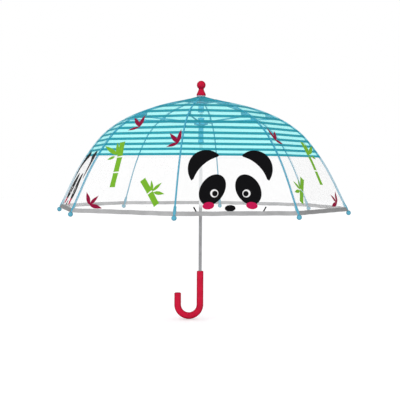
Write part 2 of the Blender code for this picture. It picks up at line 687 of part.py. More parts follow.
def skirt_mesh():
    split = place_after(canopy_point, PANEL_SPLIT_PLACE, 0.0005)
    taper_start = place_after(canopy_point, 1.0, -0.060)
    taper_end = place_after(canopy_point, 1.0, -0.030)
    hem_bottom = place_after(canopy_point, 1.0, -0.0055)
    hem_top = place_after(canopy_point, hem_bottom, -HEM_HEIGHT)
    places = facet_places(split, taper_start)
    insets = [SEAM_GAP] * len(places)
    thicknesses = [FILM] * len(places)
    for place, thickness in ((taper_end, FILM), (hem_top - 0.001, FILM), (hem_top, HEM_THICKNESS),
                             (hem_bottom, HEM_THICKNESS)):
        places.append(place)
        insets.append(TIP_CLEARANCE)
        thicknesses.append(thickness)
    return panel_mesh("skirt_panel", places, thicknesses, insets)


def make_panels(film):
    crown, skirt = crown_mesh(), skirt_mesh()
    for number in range(1, RIB_COUNT + 1):
        angle = rib_angle(number) + RIB_STEP / 2
        new_object(f"crown_panel_{number}", crown, film, angle)
        new_object(f"skirt_panel_{number}", skirt, film, angle)


def main():
    for thing in list(bpy.data.objects):
        bpy.data.objects.remove(thing)
    red = plastic("red_plastic", (0.59, 0.02, 0.05), 0.2)
    blue = plastic("blue_plastic", (0.09, 0.50, 0.75), 0.35)
    steel = plastic("steel", (0.62, 0.64, 0.66), 0.25, metallic=1.0)
    clear = plastic("clear_plastic", (0.9, 0.95, 0.97), 0.15, alpha=0.6)
    film = plastic("clear_film", (0.85, 0.95, 0.98), 0.1, alpha=0.3)
    make_handle(red)
    make_shaft(steel)
    make_finial(red)
    make_top_washer(clear)
    make_notch(blue, steel)
    make_runner(blue)
    make_catch("upper_catch", UPPER_CATCH_TOP - CATCH_HEIGHT, True, steel)
    make_catch("lower_catch", LOWER_CATCH_BOTTOM, False, steel)
    make_rib_parts(blue, steel)
    make_panels(film)


main()
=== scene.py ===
"""Looks of a children's dome umbrella: printed clear film over blue ribs, with a red crook handle.

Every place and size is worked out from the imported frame. The rib parts and the film are drawn in
a rib's own upright plane, as (radius, height), and turned to their angle round the shaft.
Angles run from the front (-Y) towards +X.
"""

import json
import random
from math import acos, asin, atan2, cos, hypot, pi, radians, sin

import bmesh
import bpy
import numpy as np
from mathutils import Matrix, Vector


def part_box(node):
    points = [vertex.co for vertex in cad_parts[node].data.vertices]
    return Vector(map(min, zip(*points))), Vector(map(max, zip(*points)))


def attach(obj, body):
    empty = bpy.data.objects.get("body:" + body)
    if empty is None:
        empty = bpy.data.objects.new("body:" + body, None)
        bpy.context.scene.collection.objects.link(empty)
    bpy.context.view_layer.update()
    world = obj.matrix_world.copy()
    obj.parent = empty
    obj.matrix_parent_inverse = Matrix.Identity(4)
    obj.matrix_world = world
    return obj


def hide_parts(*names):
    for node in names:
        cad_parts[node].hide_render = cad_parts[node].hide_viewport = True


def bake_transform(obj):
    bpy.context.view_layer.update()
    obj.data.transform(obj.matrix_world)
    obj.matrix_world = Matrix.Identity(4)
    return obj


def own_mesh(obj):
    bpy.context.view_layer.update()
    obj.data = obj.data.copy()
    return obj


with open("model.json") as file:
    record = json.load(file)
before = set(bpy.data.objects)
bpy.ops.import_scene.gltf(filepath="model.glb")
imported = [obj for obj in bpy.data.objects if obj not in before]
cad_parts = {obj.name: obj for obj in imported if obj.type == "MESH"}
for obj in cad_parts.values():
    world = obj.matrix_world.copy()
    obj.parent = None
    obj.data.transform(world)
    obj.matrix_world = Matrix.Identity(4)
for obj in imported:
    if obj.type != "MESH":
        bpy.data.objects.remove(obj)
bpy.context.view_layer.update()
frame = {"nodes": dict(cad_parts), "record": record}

# ---------------------------------------------------------------- places taken from the frame
JOINTS = {joint["name"]: joint for joint in frame["record"]["behaviour"]["joints"]}
RIB_COUNT = sum(name.startswith("rib_hinge_") for name in JOINTS)
RIB_STEP = 2 * pi / RIB_COUNT
MID_SHRINK = cos(RIB_STEP / 2)        # a gore's middle is this much nearer the shaft than its ribs


def rib_angle(number):
    axis = JOINTS[f"rib_hinge_{number}"]["axis"]
    return atan2(axis[1], axis[0])


def gore_angle(number):
    return rib_angle(number) + RIB_STEP / 2


def pivot(joint):
    """A joint's place as (radius, height)."""
    x, y, z = JOINTS[joint]["pos_m"]
    return hypot(x, y), z


def toward(start, end):
    """Unit direction from one (x, y) point to another."""
    reach = hypot(end[0] - start[0], end[1] - start[1])
    return (end[0] - start[0]) / reach, (end[1] - start[1]) / reach


def square(way):
    """An (x, y) direction turned a quarter to the left."""
    return -way[1], way[0]


def beyond(point, way, reach):
    """The (x, y) point a distance from another in a direction."""
    return point[0] + reach * way[0], point[1] + reach * way[1]


def outward(angle):
    return Vector((sin(angle), -cos(angle), 0.0))


def across(angle):
    return Vector((cos(angle), sin(angle), 0.0))


NOTCH_PIVOT = pivot("rib_hinge_1")
STRETCHER_PIVOT = pivot("stretcher_hinge_1")
FLEX_POINT = pivot("rib_flex_1")
PANEL_PIVOT = pivot("skirt_fold_1")

SHAFT_LOW, SHAFT_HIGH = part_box("shaft_tube")
SHAFT_RADIUS = SHAFT_HIGH.x
BORE = SHAFT_RADIUS + 0.0003          # of the parts that the tube goes through
TUBE_GAP = 0.0005                     # between an end of the tube and a blind bore's end
HANDLE_LOW, HANDLE_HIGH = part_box("crook_handle")
HANDLE_RADIUS = HANDLE_HIGH.x
HANDLE_BEND = (HANDLE_HIGH.x - HANDLE_LOW.x) / 2 - HANDLE_RADIUS
HANDLE_SHORT_END = frame["record"]["mounts"][0]["pos_m"][2]
FINIAL_LOW, FINIAL_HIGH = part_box("finial")
WASHER_LOW, WASHER_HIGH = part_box("top_washer")
NOTCH_LOW, NOTCH_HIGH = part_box("top_notch")
RUNNER_LOW, RUNNER_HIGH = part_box("runner")


def cad_outline():
    """The film's outer face over a rib, read from the CAD panels as (radius, height) points."""
    per_row, spacing = 0.0001, 0.004
    rows = {}
    for node in ("crown_panel_1", "skirt_panel_1"):
        for vertex in frame["nodes"][node].data.vertices:
            middle = vertex.co.dot(outward(gore_angle(1)))
            side = abs(vertex.co.dot(across(gore_angle(1))))
            key = round(side / per_row)
            point = (middle / MID_SHRINK, vertex.co.z)
            rows[key] = max(rows.get(key, (-1, -1)), point, key=sum)
    points = sorted(rows.values())
    spaced = [points[0]]
    for point in points[1:]:
        if hypot(point[0] - spaced[-1][0], point[1] - spaced[-1][1]) > spacing:
            spaced.append(point)
    return spaced


def smooth_curve(points, steps=12):
    """Dense Catmull-Rom curve through points, as an array of (x, y)."""
    dense = []
    ends = [points[0]] + list(points) + [points[-1]]
    for k in range(1, len(ends) - 2):
        a, b, c, d = (np.array(ends[k + shift], float) for shift in (-1, 0, 1, 2))
        for step in range(steps):
            t = step / steps
            dense.append(0.5 * (2 * b + (c - a) * t + (2 * a - 5 * b + 4 * c - d) * t * t
                                + (3 * b - a - 3 * c + d) * t ** 3))
    dense.append(np.array(points[-1], float))
    return np.array(dense)


OUTLINE = smooth_curve(cad_outline())
RUN = np.concatenate([[0.0], np.cumsum(np.hypot(*np.diff(OUTLINE, axis=0).T))])
HEM_RUN = RUN[-1]                     # length of the film along a rib
HEM_HEIGHT = OUTLINE[-1][1]


def outline_point(run):
    """(radius, height) of the film over a rib, a distance down from its inner edge."""
    if run > HEM_RUN:
        end, before = OUTLINE[-1], OUTLINE[-4]
        along = (end - before) / np.linalg.norm(end - before)
        return tuple(end + along * (run - HEM_RUN))
    return float(np.interp(run, RUN, OUTLINE[:, 0])), float(np.interp(run, RUN, OUTLINE[:, 1]))


def outline_normal(run):
    """Outward normal (radius, height) of the film over a rib."""
    step = 0.004
    return square(toward(outline_point(max(run - step, 0.0)), outline_point(run + step)))


def off_outline(run, lift):
    """(radius, height) a distance off the film over a rib, inwards if lift is negative."""
    return beyond(outline_point(run), outline_normal(run), lift)


def run_nearest(point):
    return float(RUN[np.argmin(np.hypot(OUTLINE[:, 0] - point[0], OUTLINE[:, 1] - point[1]))])


FLEX_RUN = run_nearest(FLEX_POINT)
JOINT_RUN = run_nearest(STRETCHER_PIVOT)
SPLIT_RUN = run_nearest((PANEL_PIVOT[0] / MID_SHRINK, PANEL_PIVOT[1]))
RIB_DEPTH = hypot(*(np.array(outline_point(FLEX_RUN)) - FLEX_POINT))


def rib_point(run):
    """(radius, height) on a rib's centreline, under the film."""
    return off_outline(run, -RIB_DEPTH)


BALL_RADIUS = 0.0056
TIP_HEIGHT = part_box("rib_tip_3")[0].z + BALL_RADIUS
TIP_RADIUS = max(hypot(v.co.x, v.co.y) for v in frame["nodes"]["rib_tip_1"].data.vertices) - BALL_RADIUS
TIP_POINT = (TIP_RADIUS, TIP_HEIGHT)

# ---------------------------------------------------------------- colours (linear)
RED = (0.650, 0.005, 0.042)
CYAN = (0.030, 0.340, 0.420)
PALE_CYAN = (0.470, 1.000, 1.000)
BLUE = (0.110, 0.430, 0.580)
HUB_BLUE = (0.130, 0.540, 0.780)
# painted shade colour for the edges of the rib rods
PAINTED_RIB_EDGE_SHADE = (0.015, 0.250, 0.400)
RIB_CORE = (0.050, 0.400, 0.570)
STRUT_BLUE = (0.035, 0.440, 0.640)
SEAM_PALE = (0.090, 0.420, 0.580)
SEAM_BLUE = (0.035, 0.310, 0.460)
GREEN = (0.190, 0.450, 0.030)
BERRY = (0.280, 0.008, 0.045)
BLUSH = (0.560, 0.010, 0.080)
INK_BLACK = (0.007, 0.007, 0.008)
INK_WHITE = (0.860, 0.860, 0.860)
HEM_GREY = (0.520, 0.520, 0.525)

# ---------------------------------------------------------------- material helpers
class Nodes:
    """A node tree under construction."""

    def __init__(self, tree):
        self.tree = tree

    def feed(self, socket, value):
        """Link a socket from another one, or set it to a number, a vector or a colour."""
        if isinstance(value, bpy.types.NodeSocket):
            self.tree.links.new(value, socket)
        else:
            socket.default_value = (*value, 1.0) if socket.type == "RGBA" else value

    def fill(self, node, **values):
        """Feed a node's inputs by name, with _ for a space."""
        for name, value in values.items():
            self.feed(node.inputs[name.replace("_", " ")], value)

    def add(self, kind, **inputs):
        node = self.tree.nodes.new(kind)
        self.fill(node, **inputs)
        return node

    def math(self, operation, *values):
        node = self.add("ShaderNodeMath")
        node.operation = operation
        for socket, value in zip(node.inputs, values):
            self.feed(socket, value)
        return node.outputs[0]


class Shader(Nodes):
    """A material under construction, with short ways to add what the materials share."""

    def __init__(self, name):
        self.material = bpy.data.materials.new(name)
        self.material.use_nodes = True
        super().__init__(self.material.node_tree)
        self.bsdf = self.tree.nodes["Principled BSDF"]
        self.output = self.tree.nodes["Material Output"]
        self.place = self.add("ShaderNodeTexCoord").outputs["Object"]

    def set(self, **values):
        self.fill(self.bsdf, **values)

    def slant(self, blend=0.5):
        """0 where the surface faces the viewer, 1 where it is edge on."""
        return self.add("ShaderNodeLayerWeight", Blend=blend).outputs["Facing"]

    def outside(self):
        """1 on a face seen from its own side, 0 from behind."""
        return self.math("SUBTRACT", 1.0, self.add("ShaderNodeNewGeometry").outputs["Backfacing"])

    def coordinate(self, axis):
        return self.add("ShaderNodeSeparateXYZ", Vector=self.place).outputs[axis]

    def mixed(self, factor, first, second):
        """Output of two shaders mixed."""
        node = self.add("ShaderNodeMixShader")
        for socket, value in zip(node.inputs, (factor, first, second)):
            self.feed(socket, value)
        return node.outputs[0]

    def stretched(self, *scale):
        return self.add("ShaderNodeMapping", Vector=self.place, Scale=scale).outputs[0]

    def noise(self, scale, detail=3.0, vector=None, roughness=0.5):
        return self.add("ShaderNodeTexNoise", Scale=scale, Detail=detail, Roughness=roughness,
                        Vector=vector or self.place).outputs["Fac"]

    def remap(self, value, low, high, start=0.35, end=0.65):
        """low at start and below, high at end and above; noise mostly lies between the usual two."""
        return self.add("ShaderNodeMapRange", Value=value, From_Min=start, From_Max=end,
                        To_Min=low, To_Max=high).outputs["Result"]

    def blend_colours(self, factor, first, second):
        node = self.add("ShaderNodeMix")
        node.data_type = "RGBA"
        for index, value in ((0, factor), (6, first), (7, second)):
            self.feed(node.inputs[index], value)
        return node.outputs[2]

    def mottled(self, pattern, colour, darkest, lightest):
        """A colour that a noise makes a little darker and lighter."""
        factor = self.remap(pattern, 0.0, 1.0)
        return self.blend_colours(factor, shade(colour, darkest), shade(colour, lightest))

    def bump(self, height, distance, strength=1.0, **under):
        """Normal of a surface with a bumpy pattern, laid over the Normal of another if one is given."""
        return self.add("ShaderNodeBump", Height=height, Distance=distance, Strength=strength,
                        **under).outputs["Normal"]


def shade(colour, factor):
    return tuple(min(channel * factor, 1.0) for channel in colour)


def moulded_plastic(name, colour, roughness, gloss):
    """Injection-moulded plastic: cloudy, with orange peel and scuffs, with painted shade that makes it deeper
    towards its outline, and duller at its edges.
    """
    s = Shader(name)
    slant = s.slant()
    # painted shade: the colour darkens towards the outline, where the surface turns away from the viewer
    edge = s.remap(slant, 0.0, 1.0, 0.15, 0.90)
    scuffs = s.noise(900.0, 4.0, s.stretched(1.0, 1.0, 0.12), 0.7)
    peel = s.bump(s.noise(420.0, 2.0), 0.00008)
    s.set(Base_Color=s.blend_colours(edge, s.mottled(s.noise(45.0), colour, 0.90, 1.08), shade(colour, 0.45)),
          Roughness=s.remap(scuffs, roughness - 0.05, roughness + 0.10),
          Normal=s.bump(scuffs, 0.00002, 0.6, Normal=peel),
          Coat_Weight=s.remap(slant, gloss, 0.0, 0.20, 0.60),
          Specular_IOR_Level=s.remap(slant, 0.1, 0.0, 0.20, 0.60),
          Coat_Roughness=0.10)
    return s.material


def fibre_rod(name):
    """Tinted glass-fibre rod with painted shade: pale along its middle and deeper at its edges."""
    s = Shader(name)
    grain = s.noise(600.0, 3.0, s.stretched(1.0, 1.0, 0.1))
    # painted shade: the rod's colour deepens towards its outline
    s.set(Base_Color=s.blend_colours(s.slant(0.35), s.mottled(grain, RIB_CORE, 0.88, 1.0), PAINTED_RIB_EDGE_SHADE),
          Roughness=s.remap(grain, 0.30, 0.45), Normal=s.bump(grain, 0.00002, 0.5), Specular_IOR_Level=0.1)
    return s.material


def plated_metal(name, colour, roughness, painted_pale_from=None):
    """Drawn and plated steel: fine lines along the tube and a slightly uneven plating.

    Above a given height it is painted nearly white and less metallic: painted light, standing in for the pale
    film seen over the tube and the light that the film throws onto it.
    """
    s = Shader(name)
    metallic, metallic_loss = 0.6, 0.45
    drawn = s.noise(1400.0, 3.0, s.stretched(1.0, 1.0, 0.015))
    plating = s.mottled(s.noise(70.0, 2.0), colour, 0.90, 1.06)
    s.set(Anisotropic=0.3, Metallic=metallic)
    if painted_pale_from is not None:
        # painted light: the tube turns nearly white above the given height, fading in over 10 mm
        pale = s.remap(s.coordinate("Z"), 0.0, 1.0, painted_pale_from, painted_pale_from + 0.010)
        plating = s.blend_colours(pale, plating, (0.95, 0.96, 0.97))
        s.set(Metallic=s.math("MULTIPLY_ADD", pale, -metallic_loss, metallic))
    s.set(Base_Color=plating, Roughness=s.remap(drawn, roughness - 0.06, roughness + 0.10),
          Normal=s.bump(drawn, 0.00002, 0.5))
    return s.material


def milky_plastic(name):
    """Clear washer plastic with a faint violet cast."""
    s = Shader(name)
    s.set(Base_Color=s.blend_colours(s.noise(200.0), (0.80, 0.84, 0.95), (0.93, 0.95, 1.0)),
          Roughness=0.18, Subsurface_Weight=0.15, Subsurface_Scale=0.002, Alpha=0.85, Coat_Weight=0.4)
    return s.material


def printed_ink(name, colour):
    """Screen-printed ink on film: slightly mottled, with a fine screen in its surface."""
    s = Shader(name)
    screen = s.noise(260.0, 4.0, roughness=0.65)
    s.set(Base_Color=s.mottled(screen, colour, 0.90, 1.08), Roughness=s.remap(s.noise(90.0), 0.32, 0.46),
          Normal=s.bump(screen, 0.00003), Specular_IOR_Level=0.02)
    return s.material


def hem_tape(name):
    """Grey vinyl binding: a woven emboss under a soft satin, with painted shade that makes it darker where it
    is seen at a slant.
    """
    s = Shader(name)
    weave = s.add("ShaderNodeTexVoronoi", Scale=900.0, Vector=s.stretched(1.0, 1.0, 1.6)).outputs["Distance"]
    mottled = s.mottled(s.noise(35.0), HEM_GREY, 0.90, 1.10)
    # painted shade: the tape darkens where it is seen at a slant
    s.set(Base_Color=s.blend_colours(s.remap(s.slant(), 0.25, 0.85), mottled, shade(HEM_GREY, 0.45)),
          Roughness=s.remap(weave, 0.38, 0.60, 0.0, 0.8), Normal=s.bump(weave, 0.00012, 0.7), Alpha=0.93)
    return s.material


# Level rings are printed round the upper half of the canopy. Ring k is centred
# RING_PITCH * k + RING_SPREAD * k * k above the first, so they spread slightly towards the top.
RING_FIRST = TIP_HEIGHT + 0.1346
RING_PITCH = 0.0113
RING_SPREAD = 0.00019
RING_HALF = 0.235                     # half of a ring's height, as a share of the pitch
SOLID_FROM_RING = 9.75                # the print is solid above this
FILM_HAZE = 0.20                      # how milky the film is below the rings, seen from outside
RINGS_HAZE = 0.10                     # and between the rings
PLAIN_HAZE = 0.08                     # how milky unprinted film is, as a share of that
FILM_SHINE = 0.20
HAZE_WHITE = (0.97, 0.97, 0.97)
INSIDE_PRINT = 0.06                   # how much of the print shows from inside
INK_COVER = 0.80                      # how much of the light the rings' ink stops
SEAM_HALF = 0.0020


def film_clear(name, printed):
    """Clear film, faintly milky from outside; the printed face also carries level cyan rings.

    The print and the haze sit on the outer face, so that looking out through the film stays clear.
    """
    s = Shader(name)
    wrinkles = s.noise(22.0, 5.0, s.stretched(1.0, 1.0, 0.40), 0.55)
    normal = s.bump(s.noise(170.0), 0.00012, 0.3, Normal=s.bump(wrinkles, 0.0012, 0.4))
    clear = s.add("ShaderNodeBsdfTransparent")
    haze = s.add("ShaderNodeBsdfDiffuse", Color=HAZE_WHITE, Normal=normal)
    sheen = s.add("ShaderNodeBsdfGlossy", Roughness=0.14, Normal=normal)
    fresnel = s.add("ShaderNodeFresnel", IOR=1.35, Normal=normal)
    outside = s.outside()
    milky = s.remap(wrinkles, FILM_HAZE - 0.05, FILM_HAZE + 0.05)
    if printed:
        in_rings = s.math("GREATER_THAN", s.coordinate("Z"), RING_FIRST)
        milky = s.math("MULTIPLY_ADD", in_rings, RINGS_HAZE - FILM_HAZE, milky)
    else:
        milky = s.math("MULTIPLY", milky, PLAIN_HAZE)
    milky = s.math("MULTIPLY", milky, s.math("MULTIPLY_ADD", s.slant(), 1.3, 0.8))
    milky = s.math("MULTIPLY", milky, s.remap(outside, 0.15, 1.0, 0.0, 1.0))
    surface = s.mixed(milky, clear.outputs[0], haze.outputs[0])
    if printed:
        surface = printed_rings(s, surface, clear, haze, outside)
    shine = s.math("MULTIPLY", fresnel.outputs[0], s.math("MULTIPLY", outside, FILM_SHINE))
    s.fill(s.output, Surface=s.mixed(shine, surface, sheen.outputs[0]))
    return s.material


def printed_rings(s, surface, clear, haze, outside):
    """Adds the cyan rings, and the pale tint between them, to a film shader."""
    above = s.math("SUBTRACT", s.coordinate("Z"), RING_FIRST)
    from_first = s.math("MAXIMUM", above, 0.0)
    root = s.math("SQRT", s.math("MULTIPLY_ADD", from_first, 4 * RING_SPREAD, RING_PITCH ** 2))
    ring = s.math("MULTIPLY_ADD", root, 0.5 / RING_SPREAD, -RING_PITCH * 0.5 / RING_SPREAD)
    off_middle = s.math("ABSOLUTE", s.math("SUBTRACT", ring, s.math("ROUND", ring)))
    in_ring = s.remap(off_middle, 1.0, 0.0, RING_HALF - 0.02, RING_HALF + 0.02)
    in_ring = s.math("MAXIMUM", in_ring, s.math("GREATER_THAN", ring, SOLID_FROM_RING))
    in_zone = s.math("GREATER_THAN", above, -RING_HALF * RING_PITCH)
    inked = s.math("MULTIPLY", in_ring, in_zone)
    tint = s.math("GREATER_THAN", above, 0.0)
    tint_outside = s.math("MULTIPLY", tint, outside)
    s.fill(clear, Color=s.blend_colours(tint_outside, (1.0, 1.0, 1.0), PALE_CYAN))
    s.fill(haze, Color=s.blend_colours(tint, HAZE_WHITE, PALE_CYAN))
    screen = s.noise(240.0, 4.0, roughness=0.6)
    ink = s.add("ShaderNodeBsdfDiffuse", Color=s.mottled(screen, CYAN, 0.90, 1.06))
    see_through = s.add("ShaderNodeBsdfTransparent", Color=CYAN)
    print_body = s.mixed(INK_COVER, see_through.outputs[0], ink.outputs[0])
    shown = s.math("MULTIPLY", inked, s.remap(outside, INSIDE_PRINT, 1.0, 0.0, 1.0))
    return s.mixed(shown, surface, print_body)


def weld_seam(name):
    """The welded overlap of two gores: a bluish strip with a deeper weld line along each side."""
    s = Shader(name)
    weld = s.remap(s.math("ABSOLUTE", s.coordinate("X")), 0.0, 1.0, SEAM_HALF * 0.35, SEAM_HALF * 0.75)
    cover = s.remap(weld, 0.70, 0.85, 0.0, 1.0)
    pressed = s.noise(700.0, 2.0, s.stretched(1.0, 1.0, 0.3))
    s.set(Base_Color=s.blend_colours(weld, SEAM_PALE, SEAM_BLUE), Roughness=0.9, Specular_IOR_Level=0.0,
          Alpha=s.math("MULTIPLY", cover, s.outside()), Normal=s.bump(pressed, 0.0001, 0.6))
    return s.material


# ---------------------------------------------------------------- mesh helpers
def placed(name, data):
    """New object in the scene."""
    thing = bpy.data.objects.new(name, data)
    bpy.context.scene.collection.objects.link(thing)
    return thing


def finished(name, mesh, materials, body, nodes=(), angle=0.0, sharp=35.0):
    """Object riding on a body, if one is named; nodes are the CAD nodes that it stands for."""
    thing = placed(name, mesh)
    thing.rotation_euler.z = angle
    if not mesh.materials:
        for material in materials if isinstance(materials, tuple) else (materials,):
            mesh.materials.append(material)
    mesh.shade_smooth()
    mesh.set_sharp_from_angle(angle=radians(sharp))
    if body:
        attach(thing, body)
    if nodes:
        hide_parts(*nodes)
    return thing


def mesh_from(points, faces, name):
    mesh = bpy.data.meshes.new(name)
    mesh.from_pydata([tuple(point) for point in points], [], faces)
    shaped = bmesh.new()
    shaped.from_mesh(mesh)
    bmesh.ops.recalc_face_normals(shaped, faces=shaped.faces)
    shaped.to_mesh(mesh)
    shaped.free()
    return mesh


def in_plane(radius, height, side=0.0):
    """A point of the plane of a rib at angle 0, which faces -Y."""
    return Vector((side, -radius, height))


def lathe(name, outline, sides=64, closed=False):
    """Solid of revolution about Z from (radius, height) points; closed means a ring profile."""
    points, faces, rings = [], [], []
    for radius, height in outline:
        if radius < 1e-7:
            points.append((0.0, 0.0, height))
            rings.append([len(points) - 1] * sides)
            continue
        first = len(points)
        for side in range(sides):
            turn = 2 * pi * side / sides
            points.append((radius * cos(turn), radius * sin(turn), height))
        rings.append(list(range(first, first + sides)))
    count = len(rings)
    for row in range(count if closed else count - 1):
        low, high = rings[row], rings[(row + 1) % count]
        for side in range(sides):
            after = (side + 1) % sides
            corners = list(dict.fromkeys((low[side], low[after], high[after], high[side])))
            if len(corners) > 2:
                faces.append(corners)
    return mesh_from(points, faces, name)


def loft(name, rings):
    """Closed solid through rings of equal point counts, with flat ends."""
    sides = len(rings[0])
    points = [point for ring in rings for point in ring]
    faces = [list(range(sides)), list(range(len(points) - sides, len(points)))]
    for row in range(len(rings) - 1):
        for side in range(sides):
            after, start = (side + 1) % sides, row * sides
            faces.append([start + side, start + after, start + sides + after, start + sides + side])
    return mesh_from(points, faces, name)


def slab(name, outline, half_width):
    """Flat piece in a rib's plane with a thickness across it."""
    return loft(name, [[in_plane(r, z, side) for r, z in outline] for side in (-half_width, half_width)])


def arc(centre, radius, start, end, steps):
    """Points along an arc; angles in degrees, both ends included."""
    turns = [radians(start + (end - start) * step / steps) for step in range(steps + 1)]
    return [beyond(centre, (cos(turn), sin(turn)), radius) for turn in turns]


def pin(name, centre, radius, half_width, steps=20):
    """Round slab across a rib's plane, for a pin or a hole."""
    return slab(name, arc(centre, radius, 0, 360, steps)[:-1], half_width)


def rod(name, path, radii, sides=20):
    """Round rod along a path in a rib's plane, with one radius per point."""
    rings = []
    for index, point in enumerate(path):
        up = square(toward(path[max(index - 1, 0)], path[min(index + 1, len(path) - 1)]))
        ring = []
        for side in range(sides):
            turn = 2 * pi * (side + 0.5) / sides
            ring.append(in_plane(*beyond(point, up, radii[index] * sin(turn)), radii[index] * cos(turn)))
        rings.append(ring)
    return loft(name, rings)


def combined(name, base, tools, operation):
    """Mesh of base after a Boolean with each tool mesh."""
    body = placed(name, base)
    helpers = [body]
    for tool in tools:
        helper = placed(name + "_tool", tool)
        helpers.append(helper)
        step = body.modifiers.new("step", "BOOLEAN")
        step.operation = operation
        step.object = helper
    return evaluated(name, body, helpers)


def evaluated(name, thing, helpers):
    """Mesh of an object with its modifiers applied; the helpers are removed."""
    bpy.context.view_layer.update()
    result = bpy.data.meshes.new_from_object(thing.evaluated_get(bpy.context.evaluated_depsgraph_get()))
    result.name = name
    for helper in helpers:
        bpy.data.objects.remove(helper)
    result.materials.clear()
    return result


def softened(name, mesh, width):
    """Mesh with its edges rounded."""
    thing = placed(name, mesh)
    rounding = thing.modifiers.new("rounding", "BEVEL")
    rounding.width = width
    rounding.segments = 2
    rounding.limit_method = "ANGLE"
    rounding.angle_limit = radians(35.0)
    rounding.use_clamp_overlap = True
    return evaluated(name, thing, [thing])


def block(name, low, high, angle=0.0):
    """Box from its corners (out, across, up), turned to face an angle from the front."""
    out, side = outward(angle), across(angle)
    corners = ((low[0], low[1]), (high[0], low[1]), (high[0], high[1]), (low[0], high[1]))
    rings = [[out * x + side * y + Vector((0, 0, height)) for x, y in corners]
             for height in (low[2], high[2])]
    return loft(name, rings)


# ---------------------------------------------------------------- handle, shaft and top
def make_handle(material):
    """Crook: a smooth tube with rounded ends and a faint mould line along its bend."""
    sides, bend_steps, leg_steps, edge_steps = 48, 48, 6, 5
    edge, mould_line = 0.0022, 0.00012
    bend_height = HANDLE_BEND + HANDLE_RADIUS
    leg = HANDLE_HIGH.z - bend_height
    path = [(0.0, HANDLE_HIGH.z - leg * k / leg_steps, 0.0) for k in range(leg_steps)]
    for step in range(bend_steps + 1):
        turn = pi * step / bend_steps
        path.append((-HANDLE_BEND + HANDLE_BEND * cos(turn), bend_height - HANDLE_BEND * sin(turn), turn))
    path.append((-2 * HANDLE_BEND, HANDLE_SHORT_END, pi))
    stations = []
    for index, (x, z, turn) in enumerate(path):
        if index in (0, len(path) - 1):
            corners = [pi / 2 * k / edge_steps for k in range(edge_steps + 1)]
            rounding = [(HANDLE_RADIUS - edge * (1 - sin(t)), -edge * (1 - cos(t))) for t in corners]
            if index:
                rounding.reverse()
            stations += [(x, z + lift, turn, size) for size, lift in rounding]
        else:
            stations.append((x, z, turn, HANDLE_RADIUS))
    rings = []
    for x, z, turn, size in stations:
        ring = []
        for side in range(sides):
            around = 2 * pi * side / sides
            on_ridge = side % (sides // 2) == 0
            out = (size if on_ridge else size - mould_line) * cos(around)
            ring.append(Vector((x + out * cos(turn), (size - mould_line) * sin(around), z - out * sin(turn))))
        rings.append(ring)
    top, bottom = HANDLE_HIGH.z + 0.01, SHAFT_LOW.z - TUBE_GAP
    socket = lathe("socket", ((0, top), (BORE, top), (BORE, bottom), (0, bottom)), 48)
    mesh = combined("crook_handle", loft("crook_handle", rings), [socket], "DIFFERENCE")
    finished("crook_grip", mesh, material, "frame", ["crook_handle"], sharp=50.0)


LEAF_END = 0.012                      # a catch's leaf reaches this far past its nose inside the tube


def catch_angle():
    axis = JOINTS["upper_catch_press"]["axis"]
    return atan2(-axis[0], axis[1])


def make_shaft(steel):
    """Steel tube with a window for each catch."""
    wall = 0.0006
    inner = SHAFT_RADIUS - wall
    tube = lathe("shaft", ((SHAFT_RADIUS, SHAFT_HIGH.z), (SHAFT_RADIUS, SHAFT_LOW.z),
                           (inner, SHAFT_LOW.z), (inner, SHAFT_HIGH.z)), 48, True)
    half, room, near, far = 0.0011, 0.0003, 0.001, 0.006
    windows = []
    for node in ("upper_catch", "lower_catch"):
        low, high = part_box(node)
        windows.append(block("window", (near, -half, low.z + LEAF_END - room),
                             (far, half, high.z - LEAF_END + room), catch_angle()))
    mesh = combined("shaft", tube, windows, "DIFFERENCE")
    finished("shaft_tube_visual", mesh, steel, "frame", ["shaft_tube"])


def make_finial(red):
    """Ball on a flared skirt, with a small step where they meet."""
    ball_radius, neck_radius, base_radius, base = 0.0107, 0.0060, FINIAL_HIGH.x, FINIAL_LOW.z
    step, flare_end, rim, rounding = 0.0004, 0.0030, 0.0016, 0.0006
    centre = FINIAL_HIGH.z - ball_radius
    neck = asin(neck_radius / ball_radius)
    outline = [(0.0, FINIAL_HIGH.z)]
    outline += [(ball_radius * sin(t), centre + ball_radius * cos(t)) for t in
                ((pi - neck) * k / 24 for k in range(1, 25))]
    flare_top = centre - ball_radius * cos(neck) - step
    flare_steps = 10
    for k in range(1, flare_steps + 1):
        t = k / flare_steps
        radius = neck_radius + (base_radius - neck_radius) * t ** 1.25
        outline.append((radius, flare_top - (flare_top - base - flare_end) * t))
    outline.append((base_radius, base + rim))
    outline += arc((base_radius - rounding, base + rounding), rounding, 0, -90, 4)
    outline += [(BORE, base), (BORE, SHAFT_HIGH.z + TUBE_GAP), (0.0, SHAFT_HIGH.z + TUBE_GAP)]
    finished("finial_visual", lathe("finial", outline), red, "frame", ["finial"], sharp=40.0)


def make_washer(material):
    """Flat ring with a round rim that holds the film on the notch."""
    low, high, radius = WASHER_LOW.z, WASHER_HIGH.z, WASHER_HIGH.x
    half = (high - low) / 2
    outline = [(radius - half, high)] + arc((radius - half, low + half), half, 90, -90, 8)[1:]
    mesh = lathe("top_washer", outline + [(BORE, low), (BORE, high)], closed=True)
    finished("top_washer_visual", mesh, material, "frame", ["top_washer"])


SLOT_WIDTH = 0.0027
WIRE_RADIUS = 0.0005


def groove(outer, pivot_point, half):
    """Outline points of a square groove, cut in from a radius down to the ring wire."""
    radius, height = pivot_point
    return [(outer, height + half), (radius - half, height + half), (radius - half, height - half),
            (outer, height - half)]


def radial_slots(inner, outer, low, high):
    """Cutters for one slot towards each rib."""
    return [block("slot", (inner, -SLOT_WIDTH / 2, low), (outer, SLOT_WIDTH / 2, high), rib_angle(number))
            for number in range(1, RIB_COUNT + 1)]


